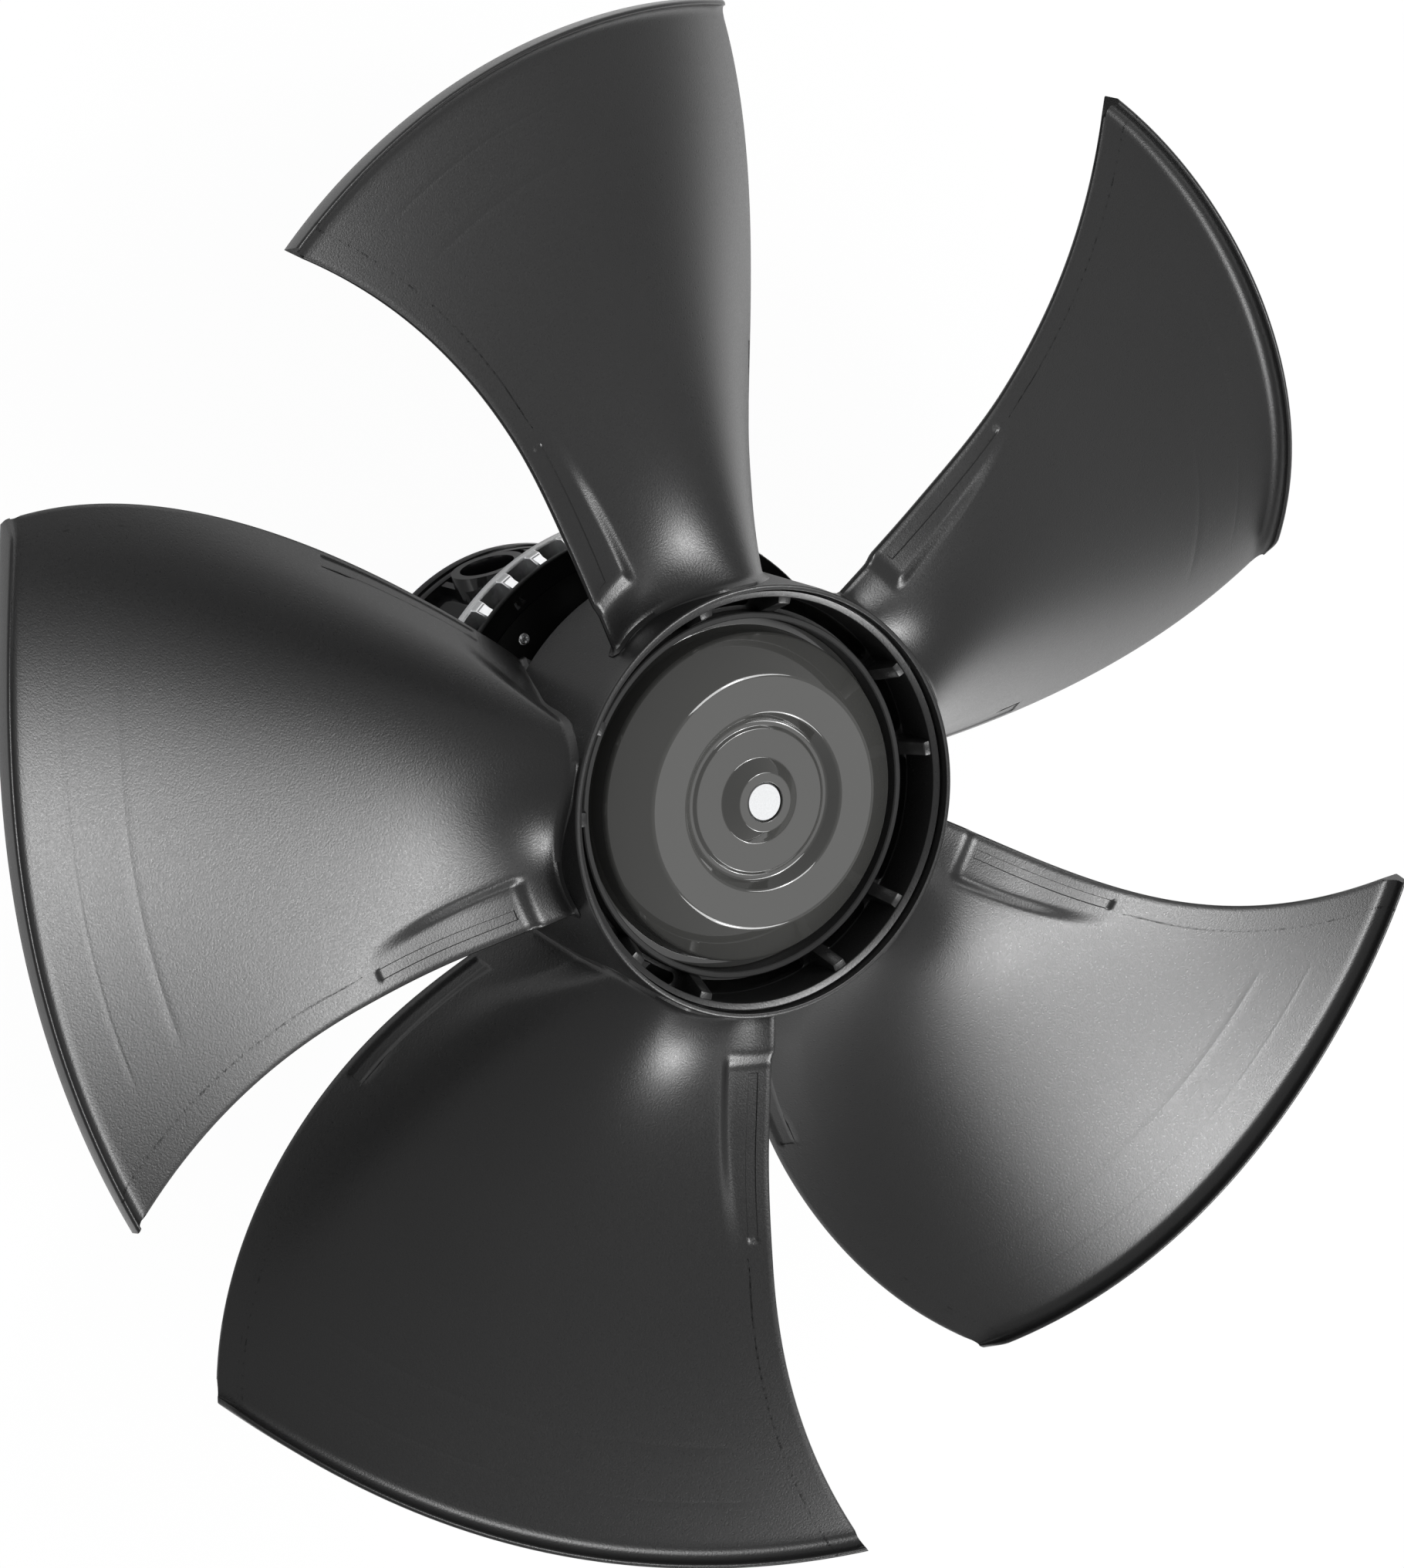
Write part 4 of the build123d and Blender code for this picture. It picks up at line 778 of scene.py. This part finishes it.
def plateScrew():
    # a domed head with a six-lobed drive
    foot, segments = plateFrontZ - screw["recess"], 48
    head, high, rim = screw["headRadius"], screw["headHeight"], screw["rimShare"]
    circle = [(cos(2 * pi * i / segments), sin(2 * pi * i / segments)) for i in range(segments)]
    lobes = [screw["driveRadius"] * (1 + screw["lobeDepth"] * cos(screw["lobes"] * 2 * pi * i / segments))
             for i in range(segments)]
    profile = [(screw["shank"], -screw["length"]), (screw["shank"], 0.0), (head, 0.0), (head, high * rim)]
    profile += [(head * cos(radians(a)), high * (rim + (1 - rim) * sin(radians(a)))) for a in (20, 40, 55)]
    rings = [[(radius * x, radius * y, foot + height) for x, y in circle] for radius, height in profile]
    for height in (high * 0.96, high - screw["driveDepth"]):
        rings.append([(lobe * x, lobe * y, foot + height) for lobe, (x, y) in zip(lobes, circle)])
    verts = [vert for ring in rings for vert in ring]
    faces = [tuple(range(segments))[::-1], tuple(range(len(verts) - segments, len(verts)))]
    for ring in range(len(rings) - 1):
        for i in range(segments):
            ahead = (i + 1) % segments
            faces.append((ring * segments + i, ring * segments + ahead,
                          (ring + 1) * segments + ahead, (ring + 1) * segments + i))
    piece = makePiece("splashPlateScrews", verts, faces)
    turn = radians(screw["angle"])
    piece.data.transform(Matrix.Translation((screw["circle"] * cos(turn), screw["circle"] * sin(turn), 0)))
    return piece


plateScrews = ringed(plateScrew(), screw["copies"], finishes["screw_steel"])
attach(plateScrews, "stator")
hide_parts("splash_plate_screws")
print("plate screws made")

# ---------- outer blocks of the flange's fins ----------
fin = {
    "copies": 40,
    "width": 7.6 * mm,
    "topWidth": 5.0 * mm,
    "innerRadius": 117.2 * mm,
    "shoulderRadius": 126.6 * mm,
    "outerRadius": 130.4 * mm,
    "footZ": 127.5 * mm,
    "shoulderZ": 133.5 * mm,
    "topRise": 27.6 * mm,
    "topDrop": 0.4 * mm,
    "underGuard": 0.3 * mm,
    "rounding": 0.7 * mm,
}


def finBlock():
    # a drafted block with a chamfered outer corner, under the guard ring
    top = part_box("stator_flange")[0][2] + fin["topRise"]
    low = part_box("guard_ring")[0][2] - fin["underGuard"]
    profile = [(fin["innerRadius"], fin["footZ"]), (fin["outerRadius"], fin["footZ"]),
               (fin["outerRadius"], fin["shoulderZ"]), (fin["shoulderRadius"], top - fin["topDrop"]),
               (fin["innerRadius"], low)]

    def halfWidth(radius, height):
        share = (height - fin["footZ"]) / (low - fin["footZ"])
        return (fin["width"] + (fin["topWidth"] - fin["width"]) * share) / 2

    return cornerRounded(drawnOut("finBlocks", profile, halfWidth), fin["rounding"], 2)


finBlocks = ringed(finBlock(), fin["copies"], finishes["cast_aluminium"])
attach(finBlocks, "stator")
print("fin blocks made")

# ---------- softened corners on the castings and covers ----------
softened = {"stator_flange": 0.5 * mm, "guard_ring": 0.25 * mm, "splash_plate": 0.2 * mm,
            "electronics_housing": 0.5 * mm, "end_cap": 0.4 * mm}
weldDistance, cornerAngle = 0.00001, 32
for name, width in softened.items():
    weld = nodes[name].modifiers.new("weld", "WELD")
    weld.merge_threshold = weldDistance
    bevel = nodes[name].modifiers.new("bevel", "BEVEL")
    bevel.width, bevel.segments, bevel.limit_method = width, 2, "ANGLE"
    bevel.angle_limit = radians(cornerAngle)
print("corners softened")

# ---------- camera, floor, light ----------
camera = {
    "place": (-0.5888, 1.3031, 2.4626),
    "right": (0.5969, -0.6183, 0.5113),
    "up": (0.7716, 0.6170, -0.1547),
    "sensor": 36.0,
    "lens": 119.32,
}
lens = bpy.data.cameras.new("camera")
lens.sensor_fit, lens.sensor_height, lens.lens = "VERTICAL", camera["sensor"], camera["lens"]
cameraObject = bpy.data.objects.new("camera", lens)
right, up = Vector(camera["right"]).normalized(), Vector(camera["up"]).normalized()
turn = Matrix((right, up, right.cross(up))).transposed().to_4x4()
cameraObject.matrix_world = Matrix.Translation(camera["place"]) @ turn
bpy.context.scene.collection.objects.link(cameraObject)
bpy.context.scene.camera = cameraObject

studio = {
    "floorSize": 14.0,
    "floorTone": 0.76,
    "floorGlow": 0.97,
    "skyGlossy": 0.35,
    "skyLight": 0.8,
    # azimuth and height of each lamp in degrees, distance, size and strength
    "lamps": {"softboxRight": (0, 60, 2.4, 1.2, 32.0), "softboxLeft": (-107, 44, 2.4, 1.15, 29.0),
              "coreRight": (0, 60, 2.35, 0.24, 9.0), "coreLeft": (-107, 44, 2.35, 0.24, 8.0),
              "frontCard": (-66, 58, 3.0, 0.7, 1.1)},
}


def whiteForCamera(tree, direct, glossy, other):
    # one strength for what the camera sees, one for reflections and one for the light itself
    path = tree.nodes.new("ShaderNodeLightPath")
    soft, seen = tree.nodes.new("ShaderNodeMix"), tree.nodes.new("ShaderNodeMix")
    soft.inputs["A"].default_value, soft.inputs["B"].default_value = other, glossy
    seen.inputs["B"].default_value = direct
    clear = tree.nodes.new("ShaderNodeMath")
    clear.operation = "MAXIMUM"
    link(tree, path, "Is Glossy Ray", clear, 0)
    link(tree, path, "Is Transmission Ray", clear, 1)
    link(tree, clear, 0, soft, "Factor")
    link(tree, soft, "Result", seen, "A")
    link(tree, path, "Is Camera Ray", seen, "Factor")
    return seen.outputs["Result"]


floorMesh = bpy.data.meshes.new("floor")
half = studio["floorSize"] / 2
floorMesh.from_pydata([(-half, -half, 0), (half, -half, 0), (half, half, 0), (-half, half, 0)], [],
                      [(0, 1, 2, 3)])
floor = bpy.data.objects.new("floor", floorMesh)
bpy.context.scene.collection.objects.link(floor)
floorPaint = bpy.data.materials.new("floorPaint")
floorPaint.use_nodes = True
floorTree = floorPaint.node_tree
floorShader = floorTree.nodes["Principled BSDF"]
floorShader.inputs["Base Color"].default_value = (*[studio["floorTone"]] * 3, 1)
floorShader.inputs["Roughness"].default_value = 0.9
floorShader.inputs["Specular IOR Level"].default_value = 0.0
glow, blend = floorTree.nodes.new("ShaderNodeEmission"), floorTree.nodes.new("ShaderNodeMixShader")
floorTree.links.new(whiteForCamera(floorTree, studio["floorGlow"], 0.0, 0.0), blend.inputs["Fac"])
link(floorTree, floorShader, 0, blend, 1)
link(floorTree, glow, 0, blend, 2)
link(floorTree, blend, 0, floorTree.nodes["Material Output"], "Surface")
floorMesh.materials.append(floorPaint)

world = bpy.data.worlds.new("studio")
bpy.context.scene.world = world
world.use_nodes = True
sky = world.node_tree.nodes["Background"]
world.node_tree.links.new(whiteForCamera(world.node_tree, 1.0, studio["skyGlossy"], studio["skyLight"]),
                          sky.inputs["Strength"])
sky.inputs["Color"].default_value = (1, 1, 1, 1)
for name, (azimuth, height, distance, size, power) in studio["lamps"].items():
    lamp = bpy.data.lights.new(name, "AREA")
    lamp.shape, lamp.size, lamp.energy = "SQUARE", size, power
    lampObject = bpy.data.objects.new(name, lamp)
    direction = Vector((cos(radians(height)) * cos(radians(azimuth)),
                        cos(radians(height)) * sin(radians(azimuth)), sin(radians(height))))
    lampObject.location = Vector((0, 0, noseZ)) + direction * distance
    lampObject.rotation_euler = direction.to_track_quat("Z", "Y").to_euler()
    bpy.context.scene.collection.objects.link(lampObject)
bpy.context.scene.view_settings.view_transform = "Standard"
print("studio set")
